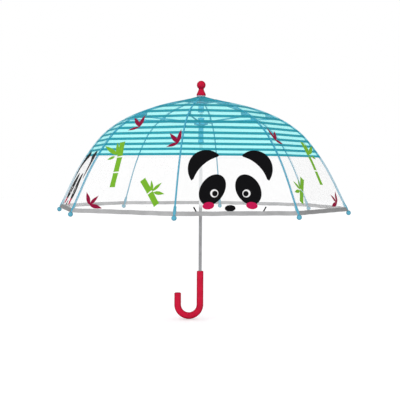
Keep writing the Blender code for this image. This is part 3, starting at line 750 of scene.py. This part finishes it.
def make_notch(blue, steel):
    """Slotted hub with a groove for the ring wire that holds the ribs."""
    flange_radius = NOTCH_HIGH.x
    sleeve_radius, neck_radius = 0.0075, 0.0068
    ring_radius, height = NOTCH_PIVOT
    flange_top, flange_bottom = NOTCH_HIGH.z - 0.0085, height - 0.0055
    outline = [(sleeve_radius, NOTCH_HIGH.z), (sleeve_radius, flange_top), (flange_radius, flange_top)]
    outline += groove(flange_radius, NOTCH_PIVOT, WIRE_RADIUS + 0.0004)
    outline += [(flange_radius, flange_bottom), (neck_radius + 0.0008, flange_bottom)]
    outline += [(neck_radius, flange_bottom - 0.0015), (neck_radius, NOTCH_LOW.z)]
    outline += [(BORE, NOTCH_LOW.z), (BORE, NOTCH_HIGH.z)]
    slots = radial_slots(ring_radius - 0.0026, flange_radius + 0.002, flange_bottom - 0.001, height + 0.003)
    star = combined("top_notch", lathe("top_notch", outline, closed=True), slots, "DIFFERENCE")
    mesh = softened("top_notch", star, 0.00035)
    finished("top_notch_visual", mesh, blue, "frame", ["top_notch"])
    make_wire("notch_wire_visual", NOTCH_PIVOT, steel, "frame", ["notch_wire"])


def make_wire(name, centre, steel, body, nodes):
    """Ring of wire that pins the eyes of the ribs or the stretchers."""
    mesh = lathe(name, arc(centre, WIRE_RADIUS, 360, 0, 12)[:-1], 96, True)
    finished(name, mesh, steel, body, nodes)


# ---------------------------------------------------------------- runner and catches
RUNNER_HEAD_HALF = 0.0050
RUNNER_PIVOT = (RUNNER_HIGH.x * 0.8235, RUNNER_HIGH.z - 0.011)    # the stretchers' ring wire


def make_runner(blue, steel):
    """Slotted head with its ring wire, on a sleeve with three grip rings and a rim."""
    head, top, bottom = RUNNER_HIGH.x, RUNNER_HIGH.z, RUNNER_LOW.z
    collar, sleeve, rim, grip, rounding = 0.0078, 0.0060, 0.0068, 0.0010, 0.0006
    head_top, head_bottom = RUNNER_PIVOT[1] + RUNNER_HEAD_HALF, RUNNER_PIVOT[1] - RUNNER_HEAD_HALF
    outline = [(collar, top), (collar, head_top), (head, head_top)]
    outline += groove(head, RUNNER_PIVOT, WIRE_RADIUS + 0.0003)
    outline += [(head, head_bottom), (sleeve + 0.0030, head_bottom - 0.0018), (sleeve, head_bottom - 0.0050)]
    for ring in (bottom + 0.022, bottom + 0.017, bottom + 0.012):
        outline += [(sleeve, ring + grip), (sleeve + grip / 2, ring), (sleeve, ring - grip)]
    outline += [(sleeve, bottom + 0.0060), (rim, bottom + 0.0050)]
    outline += arc((rim - rounding, bottom + rounding), rounding, 0, -90, 4)
    outline += [(BORE, bottom), (BORE, top)]
    tube = lathe("runner", outline, closed=True)
    cutters = radial_slots(collar + 0.0002, head + 0.002, head_bottom - 0.006, head_top + 0.001)
    half, near, far, past = 0.0014, 0.001, SHAFT_RADIUS + 0.0038, 0.001
    cutters.append(block("catch_slot", (near, -half, bottom - past), (far, half, top + past), catch_angle()))
    mesh = combined("runner", tube, cutters, "DIFFERENCE")
    finished("runner_visual", softened("runner", mesh, 0.0003), blue, "runner", ["runner"])
    make_wire("runner_wire_visual", RUNNER_PIVOT, steel, "runner", [])


def make_catches(steel):
    """Spring catches: a leaf in the tube whose nose slopes where the runner rides over it."""
    nose, root, back, corner = 0.0032, 0.0018, 0.0004, 0.0004
    for node, slope_down in (("upper_catch", False), ("lower_catch", True)):
        low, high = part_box(node)
        bottom, top = low.z + LEAF_END, high.z - LEAF_END
        front = SHAFT_RADIUS + nose
        ramp = (top - bottom) * 0.8
        if slope_down:
            face = [(root, bottom), (front - corner, bottom), (front, bottom + corner), (front, top - ramp),
                    (SHAFT_RADIUS, top), (root, top)]
        else:
            face = [(root, bottom), (SHAFT_RADIUS, bottom), (front, bottom + ramp), (front, top - corner),
                    (front - corner, top), (root, top)]
        outline = [(back, low.z), (root, low.z)] + face + [(root, high.z), (back, high.z)]
        mesh = softened(node, slab(node, outline, 0.0008), 0.0002)
        finished(node + "_visual", mesh, steel, node, [node], angle=catch_angle())


# ---------------------------------------------------------------- ribs and stretchers
ROD_RADIUS = 0.0016
BRACKET_IN = 0.028                    # the bracket's reach up and down the rib from its joint
BRACKET_OUT = 0.0121
FORK_GAP = 0.0020                     # half widths across the rib's plane
FORK_WIDTH = 0.0032
LAST_FREE_RUN = 0.030                 # from here to the hem the rib runs straight into its tip
TIP_SLEEVE_TOP = 0.0268


def rib_runs(start, end, step=0.006):
    """Evenly spaced distances down a rib, about a step apart."""
    count = max(int(round((end - start) / step)), 1)
    return [start + (end - start) * k / count for k in range(count + 1)]


def inner_rib_mesh():
    """Eye, tongue, rod and bracket of an inner rib, with its two stub pins."""
    pivot_r, pivot_z = NOTCH_PIVOT
    rod_start = run_nearest((0.045, OUTLINE[0][1]))
    bracket_start, bracket_end = JOINT_RUN - BRACKET_IN, JOINT_RUN + BRACKET_OUT
    path = [(pivot_r + 0.0065, pivot_z + 0.0006)]
    path += [rib_point(run) for run in rib_runs(rod_start, bracket_start + 0.006)]
    body = rod("rib_rod", path, [ROD_RADIUS] * len(path))
    eye = arc(NOTCH_PIVOT, 0.0022, 90, 270, 16)
    eye += [(pivot_r + 0.0080, pivot_z - 0.0009), (pivot_r + 0.0080, pivot_z + 0.0021)]
    tongue = slab("rib_tongue", eye, 0.0010)

    over, under = 0.0012 - RIB_DEPTH, -0.0016 - RIB_DEPTH
    outline = [off_outline(run, over) for run in rib_runs(bracket_start, bracket_end)]
    outline.append(off_outline(bracket_end, under))
    outline += arc(STRETCHER_PIVOT, 0.0024, -15, -120, 8)
    inward = toward(STRETCHER_PIVOT, RUNNER_PIVOT)
    corner = 0.0215                   # the bracket's lower corner is this far along the stretcher
    outline.append(beyond(STRETCHER_PIVOT, inward, corner))
    outline.append(off_outline(bracket_start, under))
    bracket = softened("rib_bracket", slab("rib_bracket", outline, 0.0017), 0.0003)
    pins = pin("rib_pins", STRETCHER_PIVOT, 0.0010, FORK_WIDTH)
    whole = combined("rib_inner", body, [tongue, bracket, pins], "UNION")
    hole = pin("eye_hole", NOTCH_PIVOT, 0.0009, 0.003, 16)
    return combined("rib_inner", whole, [hole], "DIFFERENCE")


def tip_frame():
    """Direction (out, up) from the ball's centre up the rib."""
    return toward(TIP_POINT, rib_point(HEM_RUN - LAST_FREE_RUN))


def outer_rib_mesh():
    """Springy rod from its round end at the flex point down into the tip's sleeve."""
    path = [rib_point(run) for run in rib_runs(FLEX_RUN, HEM_RUN - LAST_FREE_RUN)]
    along, in_sleeve = toward(path[0], path[1]), 0.0085
    cap = [radians(turn) for turn in (8, 25, 45, 65, 80)]
    radii = [ROD_RADIUS * sin(t) for t in cap] + [ROD_RADIUS] * (len(path) + 1)
    path = [beyond(path[0], along, -ROD_RADIUS * cos(t)) for t in cap] + path
    return rod("rib_outer", path + [beyond(TIP_POINT, tip_frame(), in_sleeve)], radii)


def tip_mesh():
    """Ball and stepped sleeve, bored for the rod."""
    ball, sleeve, neck_radius, bore = BALL_RADIUS, 0.0034, 0.0027, 0.0018
    neck = acos(neck_radius / ball)
    outline = [(0.0, 0.008), (bore, 0.008), (bore, TIP_SLEEVE_TOP), (sleeve - 0.0010, TIP_SLEEVE_TOP)]
    outline += [(sleeve - 0.0004, TIP_SLEEVE_TOP - 0.0006), (sleeve - 0.0003, 0.0190)]
    outline += [(sleeve, 0.0180), (sleeve, 0.0090), (neck_radius, 0.0070)]
    outline += [(ball * cos(t), ball * sin(t)) for t in (neck - (neck + pi / 2) * k / 16 for k in range(17))]
    outline[-1] = (0.0, -ball)
    mesh = lathe("rib_tip", outline[::-1], 32)
    up = tip_frame()
    lean = atan2(-up[0], up[1])
    mesh.transform(Matrix.Translation(in_plane(*TIP_POINT)) @ Matrix.Rotation(-lean, 4, "X"))
    return mesh


def stretcher_mesh():
    """Strut with a fork at the rib and an eye on the runner's ring wire."""
    start, end = STRETCHER_PIVOT, RUNNER_PIVOT
    reach = hypot(end[0] - start[0], end[1] - start[1])
    along = toward(start, end)

    def at(distance, lift=0.0):
        return beyond(beyond(start, along, distance), square(along), lift)

    fork_length, lug = 0.024, 0.0024
    arm = [at(x, y) for x, y in arc((0, 0), lug, 90, 270, 14)]
    arm += [at(fork_length + 0.005, -0.0017), at(fork_length + 0.005, 0.0017)]
    gap_outline = [at(-0.01, -0.01), at(fork_length, -0.01), at(fork_length, 0.01), at(-0.01, 0.01)]
    cutters = [slab("gap", gap_outline, FORK_GAP), pin("fork_hole", start, 0.0012, 0.005)]
    fork = softened("fork", combined("fork", slab("fork", arm, FORK_WIDTH), cutters, "DIFFERENCE"), 0.0003)
    tongue_start = reach - 0.012
    bar_start, bar_end, steps = fork_length + 0.003, tongue_start + 0.002, 24
    path = [at(bar_start + (bar_end - bar_start) * k / steps) for k in range(steps + 1)]
    swell = [0.0014 + 0.0003 * sin(pi * k / steps) for k in range(steps + 1)]
    strut = rod("stretcher_rod", path, swell)
    eye = [at(tongue_start, 0.0011), at(tongue_start, -0.0011)]
    eye += [at(reach + x, y) for x, y in arc((0, 0), 0.0021, -130, 130, 14)]
    tongue = slab("stretcher_eye", eye, 0.0010)
    whole = combined("stretcher", strut, [fork, tongue], "UNION")
    return combined("stretcher", whole, [pin("eye_hole", end, 0.0009, 0.003, 16)], "DIFFERENCE")


def make_rib_parts(rib_blue, blue, strut_blue):
    parts = (("rib_inner", inner_rib_mesh(), rib_blue, "rib", "rib_blue"),
             ("rib_outer", outer_rib_mesh(), rib_blue, "rib_end", "rib_blue"),
             ("rib_tip", tip_mesh(), blue, "rib_end", "blue_plastic"),
             ("stretcher", stretcher_mesh(), strut_blue, "stretcher", "stretcher_grey"))
    for n in range(1, RIB_COUNT + 1):
        for part, mesh, material, body, slot in parts:
            finished(f"{part}_visual_{n}", mesh, material, f"{body}_{n}", [f"{part}_{n}"], rib_angle(n))


# ---------------------------------------------------------------- film
FILM_THICKNESS = 0.00025


def gore_waves(number):
    """Seeded slight ripples of one gore: (waves down it, waves across it, phase, size)."""
    draw = random.Random(40 + number)
    return [(draw.uniform(2.0, 7.0), draw.uniform(1.0, 4.0), draw.uniform(0, 2 * pi), draw.uniform(0.2, 0.5))
            for _ in range(6)]


def gore_point(number, run, side, waves, lift=0.0):
    """Point of the film's outer face: run goes down the gore, side from -1 to 1 between its ribs."""
    radius, height = outline_point(run)
    normal = outline_normal(run)
    slope = hypot(normal[0] / MID_SHRINK, normal[1])
    normal_r, normal_z = normal[0] / MID_SHRINK / slope, normal[1] / slope
    ripple_size, gather_size, seam_dip, seam_gap = 0.00045, 0.00035, 0.0003, 0.0004
    down = run / HEM_RUN
    free = (1 - side * side) * min(down * 6, 1.0)
    ripple = sum(size * sin(2 * pi * along * down + sideways * pi * side + phase)
                 for along, sideways, phase, size in waves)
    gather = cos(pi * 9 * side) * gather_size * max(0.0, 1 - down * 5)
    offset = ripple_size * ripple * free + gather - seam_dip * side ** 8 + lift
    half_width = radius * sin(RIB_STEP / 2) - seam_gap
    angle = gore_angle(number)
    place = outward(angle) * (radius * MID_SHRINK + offset * normal_r)
    return place + across(angle) * (side * half_width) + Vector((0, 0, height + offset * normal_z))


def film_mesh(name, number, start, end, columns=28, step=0.007):
    """Thin closed shell of film between two runs of a gore, printed side out."""
    waves = gore_waves(number)
    runs = rib_runs(start, end, step)
    sides = [-1 + 2 * k / columns for k in range(columns + 1)]
    points = [gore_point(number, run, side, waves, lift)
              for lift in (0.0, -FILM_THICKNESS) for run in runs for side in sides]
    width, layer, last = columns + 1, len(runs) * (columns + 1), len(runs) - 1
    faces, printed = [], []
    for row in range(last):
        for column in range(columns):
            a = row * width + column
            quad = (a, a + 1, a + width + 1, a + width)
            faces.append(quad)
            faces.append(tuple(layer + k for k in reversed(quad)))
            printed += [0, 1]
    rim = [k for k in range(columns)] + [row * width + columns for row in range(last)]
    rim += [last * width + columns - k for k in range(columns)]
    rim += [(last - row) * width for row in range(last)]
    for k, a in enumerate(rim):
        b = rim[(k + 1) % len(rim)]
        faces.append((b, a, a + layer, b + layer))
        printed.append(1)
    mesh = mesh_from(points, faces, name)
    mesh.polygons.foreach_set("material_index", printed)
    return mesh


def gore_piece(name, mesh, materials, part, number, nodes=()):
    """Piece of a gore, riding on its part's body, with a mesh of its own."""
    thing = finished(name, mesh, materials, f"{part}_{number}", nodes, sharp=60.0)
    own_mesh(thing)


CAP_RUN = 0.026                       # the cap runs from the gore's inner edge to here


def film_cap(number, materials):
    """The top of a gore, held under the washer; it rides on no body."""
    name = f"film_cap_{number}"
    cap = finished(name, film_mesh(name, number, 0.0, CAP_RUN), materials, None, sharp=60.0)
    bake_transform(cap)


def make_film(materials):
    """Eight gores, each with a cap and split where the canopy folds."""
    for n in range(1, RIB_COUNT + 1):
        film_cap(n, materials)
        for part, start, end in (("crown", CAP_RUN, SPLIT_RUN), ("skirt", SPLIT_RUN, HEM_RUN)):
            name = f"film_{part}_{n}"
            gore_piece(name, film_mesh(name, n, start, end), materials, part, n, [f"{part}_panel_{n}"])


HEM_TALL = 0.0084
HEM_HALF_THICK = 0.00055
HEM_DROOP = 0.00021


def make_hem(material):
    """Folded binding round the edge of each gore, with a rolled lower lip."""
    columns = 40
    outside = [(-HEM_TALL, 0.4), (-HEM_TALL + 0.0006, 1.0), (-0.0030, 1.0), (-0.0012, 1.35), (0.0010, 1.35),
               (0.0017, 0.7)]
    section = outside + [(down, -thick) for down, thick in reversed(outside)]
    for n in range(1, RIB_COUNT + 1):
        waves = gore_waves(n)
        rings = []
        for k in range(columns + 1):
            side = (-1 + 2 * k / columns) * 0.992
            droop = HEM_DROOP * sin(pi * 5 * side + n)
            rings.append([gore_point(n, HEM_RUN + down + droop, side, waves,
                                     thick * HEM_HALF_THICK - FILM_THICKNESS / 2) for down, thick in section])
        gore_piece(f"hem_binding_{n}", loft(f"hem_{n}", rings), material, "skirt", n)


def make_seams(materials):
    """Welded overlaps along the ribs, split where the ribs flex; their inner face has the second material."""
    section = ((-1, -0.0004), (-0.6, 0.0007), (0.6, 0.0007), (1, -0.0004), (0, -0.0001))
    for n in range(1, RIB_COUNT + 1):
        for part, body, start, end in (("crown", f"rib_{n}", CAP_RUN, FLEX_RUN - 0.001),
                                       ("skirt", f"rib_end_{n}", FLEX_RUN, HEM_RUN - 0.004)):
            rings = []
            for run in rib_runs(start, end, 0.008):
                rings.append([in_plane(*off_outline(run, lift), side * SEAM_HALF) for side, lift in section])
            seam = loft(f"seam_{part}_{n}", rings)
            for face in seam.polygons:
                face.material_index = int(face.normal.z < face.normal.y)
            finished(f"rib_seam_{part}_{n}", seam, materials, body, angle=rib_angle(n),
                     sharp=60.0)


# ---------------------------------------------------------------- printed motifs
# A motif is drawn on a gore as (across, up) in metres: across from the gore's middle, towards
# the next rib, and up along the film from the hem.
def turned(shape, place, turn):
    """A shape drawn round (0, 0), turned to the right and moved to a place."""
    return [(place[0] + x * cos(turn) + y * sin(turn), place[1] - x * sin(turn) + y * cos(turn))
            for x, y in shape]


def ellipse(centre, half_width, half_height, turn=0.0):
    steps = 48
    turns = [2 * pi * k / steps for k in range(steps)]
    return turned([(half_width * cos(t), half_height * sin(t)) for t in turns], centre, turn)


def bearing(start, end):
    """Distance between two points, and the turn to the right from straight up."""
    x, y = end[0] - start[0], end[1] - start[1]
    return hypot(x, y), atan2(x, y)


def leaf(base, tip, width):
    """Pointed leaf from its base to its tip."""
    (length, turn), steps = bearing(base, tip), 12
    side = [(width / 2 * sin(pi * t ** 0.85) * (1 - 0.25 * t), length * t) for t in
            (k / steps for k in range(steps + 1))]
    shape = side + [(-x, y) for x, y in side[-2:0:-1]]
    return turned(shape, base, turn)


def bar(centre, length, width, turn):
    """Slightly waisted bamboo joint."""
    half, end, waist, waist_end = width / 2, length / 2, width * 0.46, length / 2 * 0.7
    shape = [(-half, -end), (half, -end), (waist, -waist_end), (waist, waist_end), (half, end), (-half, end),
             (-waist, waist_end), (-waist, -waist_end)]
    return turned(shape, centre, turn)


def stroke(points, width):
    """Line of even width through points."""
    left, right = [], []
    for index, point in enumerate(points):
        aside = square(toward(points[max(index - 1, 0)], points[min(index + 1, len(points) - 1)]))
        left.append(beyond(point, aside, width / 2))
        right.append(beyond(point, aside, -width / 2))
    return left + right[::-1]


INK_THICKNESS = 0.00006
INK_LIFT = 0.00012                    # from the film to the lowest layer
LAYER_STEP = 0.00010


def print_on_gore(name, number, shapes, material, layer):
    """Thin ink solids laid on a gore's outer face, cut into strips so that they follow its curve."""
    waves = gore_waves(number)
    strip = 0.0035
    flat = bmesh.new()
    for shape in shapes:
        flat.faces.new([flat.verts.new((x, y, 0.0)) for x, y in shape])
    for axis in (1, 0):
        along = [point[axis] for shape in shapes for point in shape]
        place = min(along) + strip
        while place < max(along):
            point, normal = [0.0, 0.0, 0.0], [0.0, 0.0, 0.0]
            point[axis], normal[axis] = place, 1.0
            geometry = flat.verts[:] + flat.edges[:] + flat.faces[:]
            bmesh.ops.bisect_plane(flat, geom=geometry, plane_co=point, plane_no=normal, dist=1e-7)
            place += strip
    bmesh.ops.recalc_face_normals(flat, faces=flat.faces)
    bmesh.ops.triangulate(flat, faces=flat.faces)
    top, bottom = {}, {}
    solid = bmesh.new()
    lift = INK_LIFT + LAYER_STEP * layer
    for vertex in flat.verts:
        run = HEM_RUN - vertex.co.y
        side = vertex.co.x / (outline_point(run)[0] * sin(RIB_STEP / 2))
        top[vertex] = solid.verts.new(gore_point(number, run, side, waves, lift + INK_THICKNESS))
        bottom[vertex] = solid.verts.new(gore_point(number, run, side, waves, lift))
    for face in flat.faces:
        corners = face.verts[:]
        solid.faces.new([top[v] for v in corners])
        solid.faces.new([bottom[v] for v in reversed(corners)])
    for edge in flat.edges:
        if len(edge.link_faces) == 1:
            a, b = edge.verts
            solid.faces.new((top[a], top[b], bottom[b], bottom[a]))
    bmesh.ops.recalc_face_normals(solid, faces=solid.faces)
    mesh = bpy.data.meshes.new(name)
    solid.to_mesh(mesh)
    flat.free()
    solid.free()
    gore_piece(name, mesh, material, "skirt", number)


def cut_by_circle(shape, centre, radius):
    """Part of a convex outline outside a circle; the cut runs along the circle."""
    outside = [hypot(x - centre[0], y - centre[1]) > radius for x, y in shape]
    count = len(shape)
    k = next(k for k in range(count) if outside[k] and not outside[k - 1])
    kept = []
    while outside[k % count]:
        kept.append(shape[k % count])
        k += 1
    start, end = (atan2(kept[k][1] - centre[1], kept[k][0] - centre[0]) for k in (-1, 0))
    steps = 20
    for step in range(1, steps):
        turn = start + (end - start) * step / steps
        kept.append(beyond(centre, (cos(turn), sin(turn)), radius))
    return kept


def moved(shapes, shift, lean=0.0):
    """Shapes moved by (across, up), and slanted by lean metres across per metre up."""
    return [[(x + shift[0] + lean * y, y + shift[1]) for x, y in shape] for shape in shapes]


def bear_face(number, inks):
    """A plain black and white bear's face peeping over the hem, set a little askew on the gore."""
    head_centre, head_radius = (0.0, 0.0585), 0.086
    shift, lean = (-0.0166, 0.0), 0.123
    both = (-1, 1)
    ears = [cut_by_circle(ellipse((side * 0.0545, 0.1095), 0.0410, 0.0480), head_centre, head_radius)
            for side in both]
    patches = [ellipse((side * 0.0400, 0.0590), 0.0270, 0.0385, side * radians(-27)) for side in both]
    whites = [ellipse((side * 0.0358, 0.0500), 0.0090, 0.0094) for side in both]
    pupils = [ellipse((side * 0.0345, 0.0493), 0.0060, 0.0065) for side in both]
    cheeks = [ellipse((side * 0.0480, 0.0213), 0.0130, 0.0084, side * radians(8)) for side in both]
    nose = [ellipse((0.0, 0.0153), 0.0118, 0.0077)]
    jaw = [stroke([(side * 0.0800, 0.0185), (side * 0.0745, 0.0085), (side * 0.0680, -0.0010)], 0.0030)
           for side in both]
    for part, shapes, ink, layer in (("ears", ears, "black", 0), ("eye_patches", patches, "black", 0),
                                     ("eye_whites", whites, "white", 1), ("pupils", pupils, "black", 2),
                                     ("cheeks", cheeks, "blush", 2), ("nose", nose + jaw, "black", 0)):
        print_on_gore(f"print_{part}_{number}", number, moved(shapes, shift, lean), inks[ink], layer)


def sprig(base, tips):
    return [leaf(base, tip, 0.0110) for tip in tips]


def cane(points):
    """Bamboo joints between points, with small gaps at the nodes."""
    width, gap = 0.0148, 0.0034
    joints = []
    for low, high in zip(points[1:], points):
        reach, turn = bearing(low, high)
        joints.append(bar(((low[0] + high[0]) / 2, (low[1] + high[1]) / 2), reach - gap, width, turn))
    return joints


def bamboo_garden(number, inks, hand, shifts):
    """Two bamboo canes and red sprigs; hand is -1 for the other hand, and shifts place each motif."""
    tall, short, low_sprig, middle_sprig, top_sprig = shifts
    stems = moved(cane([(-0.0560, 0.188), (-0.0465, 0.1450), (-0.0432, 0.1045), (-0.0415, 0.066)]), tall)
    stems += moved(cane([(0.0400, 0.0900), (0.0690, 0.0590), (0.0950, 0.0285)]), short)
    tall_node, short_node = (-0.0555, 0.1500), (0.0740, 0.0620)
    leaves = moved([leaf(tall_node, (-0.1010, 0.1760), 0.0120), leaf(tall_node, (-0.0690, 0.1860), 0.0095),
                    leaf((-0.0600, 0.1455), (-0.0790, 0.1370), 0.0090)], tall)
    leaves += moved([leaf(short_node, (0.0645, 0.0880), 0.0080), leaf(short_node, (0.0935, 0.0825), 0.0095),
                     leaf((0.0780, 0.0590), (0.1070, 0.0560), 0.0095)], short)
    reds = []
    for base, tips, shift in (
            ((-0.0880, 0.0240), ((-0.1060, 0.0545), (-0.0700, 0.0465), (-0.0505, 0.0160)), low_sprig),
            ((0.0930, 0.1855), ((0.0850, 0.2270), (0.0600, 0.2150), (0.0660, 0.1755)), middle_sprig),
            ((-0.0290, 0.2310), ((-0.0420, 0.2840), (-0.0650, 0.2720), (-0.0560, 0.2190)), top_sprig)):
        if shift:
            reds += moved(sprig(base, tips), shift)
    for part, shapes, ink, layer in (("canes", stems, "green", 0), ("cane_leaves", leaves, "green", 0),
                                     ("sprigs", reds, "berry", 1)):
        handed = [[(hand * x, y) for x, y in shape] for shape in shapes]
        print_on_gore(f"print_{part}_{number}", number, handed, inks[ink], layer)


def make_prints():
    colours = {"black": INK_BLACK, "white": INK_WHITE, "blush": BLUSH, "green": GREEN, "berry": BERRY}
    inks = {name: printed_ink(f"ink_{name}", colour) for name, colour in colours.items()}
    bear_face(1, inks)
    bear_face(7, inks)
    bamboo_garden(8, inks, 1, ((0.0, -0.0060), (-0.0067, -0.0078), (-0.0027, -0.0060), (0.0024, -0.0098),
                               (-0.0018, -0.0018)))
    bamboo_garden(2, inks, -1, ((-0.0010, 0.0010), (0.0080, -0.0030), (0.0, -0.0030), (-0.0104, 0.0025),
                                None))


# ---------------------------------------------------------------- studio
def make_world(scene):
    """White backdrop; as light it is a little dimmer towards +X, and much dimmer in reflections."""
    world = bpy.data.worlds.new("studio")
    scene.world = world
    world.use_nodes = True
    w = Nodes(world.node_tree)
    direction = w.add("ShaderNodeSeparateXYZ", Vector=w.add("ShaderNodeTexCoord").outputs["Generated"])
    rays = w.add("ShaderNodeLightPath").outputs
    even = w.math("MULTIPLY_ADD", direction.outputs["X"], -0.06, 0.97)
    dim_for_shine = w.math("SUBTRACT", even, w.math("MULTIPLY", rays["Is Glossy Ray"], 0.70))
    w.fill(w.tree.nodes["Background"], Color=(1.0, 1.0, 1.0),
           Strength=w.math("MAXIMUM", dim_for_shine, rays["Is Camera Ray"]))


def make_floor():
    """Matt floor just under the handle, with a glow that only the camera sees."""
    half, drop, glow = 9, -0.0004, 0.28
    mesh = mesh_from([(-half, -half, drop), (half, -half, drop), (half, half, drop), (-half, half, drop)],
                     [(0, 1, 2, 3)], "floor")
    s = Shader("pale_floor")
    seen = s.add("ShaderNodeLightPath").outputs["Is Camera Ray"]
    s.set(Base_Color=(0.82, 0.82, 0.83), Roughness=0.8, Specular_IOR_Level=0.1,
          Emission_Color=(1.0, 1.0, 1.0), Emission_Strength=s.math("MULTIPLY", seen, glow))
    mesh.materials.append(s.material)
    placed("floor", mesh)


def make_studio():
    scene = bpy.context.scene
    scene.view_settings.view_transform = "Standard"
    scene.cycles.transparent_max_bounces = 64
    make_world(scene)
    make_floor()
    aim = Vector((0, 0, 0.35))
    for name, place, size, power in (("key", (-2.0, -1.8, 1.6), 1.2, 9.0),
                                     ("fill", (2.2, -1.4, 0.8), 1.6, 3.0)):
        light = bpy.data.lights.new(name, "AREA")
        light.size = size
        light.energy = power
        lamp = placed(name, light)
        lamp.location = place
        lamp.rotation_euler = (aim - lamp.location).to_track_quat("-Z", "Y").to_euler()


def make_camera():
    """Level with the canopy, a little above its hem, looking slightly down."""
    distance, above_tips, aside = TIP_RADIUS * 6.37, TIP_RADIUS * 0.277, -0.0018
    pitch, roll = 90 - 1.82, -0.35
    data = bpy.data.cameras.new("camera")
    data.lens = 83.9
    data.sensor_width = 36.0
    camera = placed("camera", data)
    camera.location = (aside, -distance, TIP_HEIGHT + above_tips)
    camera.rotation_euler = (radians(pitch), radians(roll), 0.0)
    bpy.context.scene.camera = camera


def main():
    red = moulded_plastic("red_plastic", RED, 0.30, 0.12)
    blue = moulded_plastic("blue_plastic", BLUE, 0.35, 0.15)
    hub_blue = moulded_plastic("hub_blue", HUB_BLUE, 0.35, 0.15)
    strut_blue = moulded_plastic("strut_blue", STRUT_BLUE, 0.40, 0.1)
    wire = plated_metal("spring_wire", (0.40, 0.41, 0.42), 0.30)
    plain_film = film_clear("plain_film", False)
    make_handle(red)
    make_shaft(plated_metal("plated_tube", (0.42, 0.42, 0.43), 0.28, HEM_HEIGHT))
    make_finial(red)
    make_washer(milky_plastic("milky_washer"))
    make_notch(hub_blue, wire)
    make_runner(hub_blue, wire)
    make_catches(wire)
    make_rib_parts(fibre_rod("rib_fibre"), blue, strut_blue)
    make_film((film_clear("printed_film", True), plain_film))
    make_hem(hem_tape("hem_tape"))
    make_seams((weld_seam("weld_seam"), plain_film))
    make_prints()
    make_studio()
    make_camera()


main()
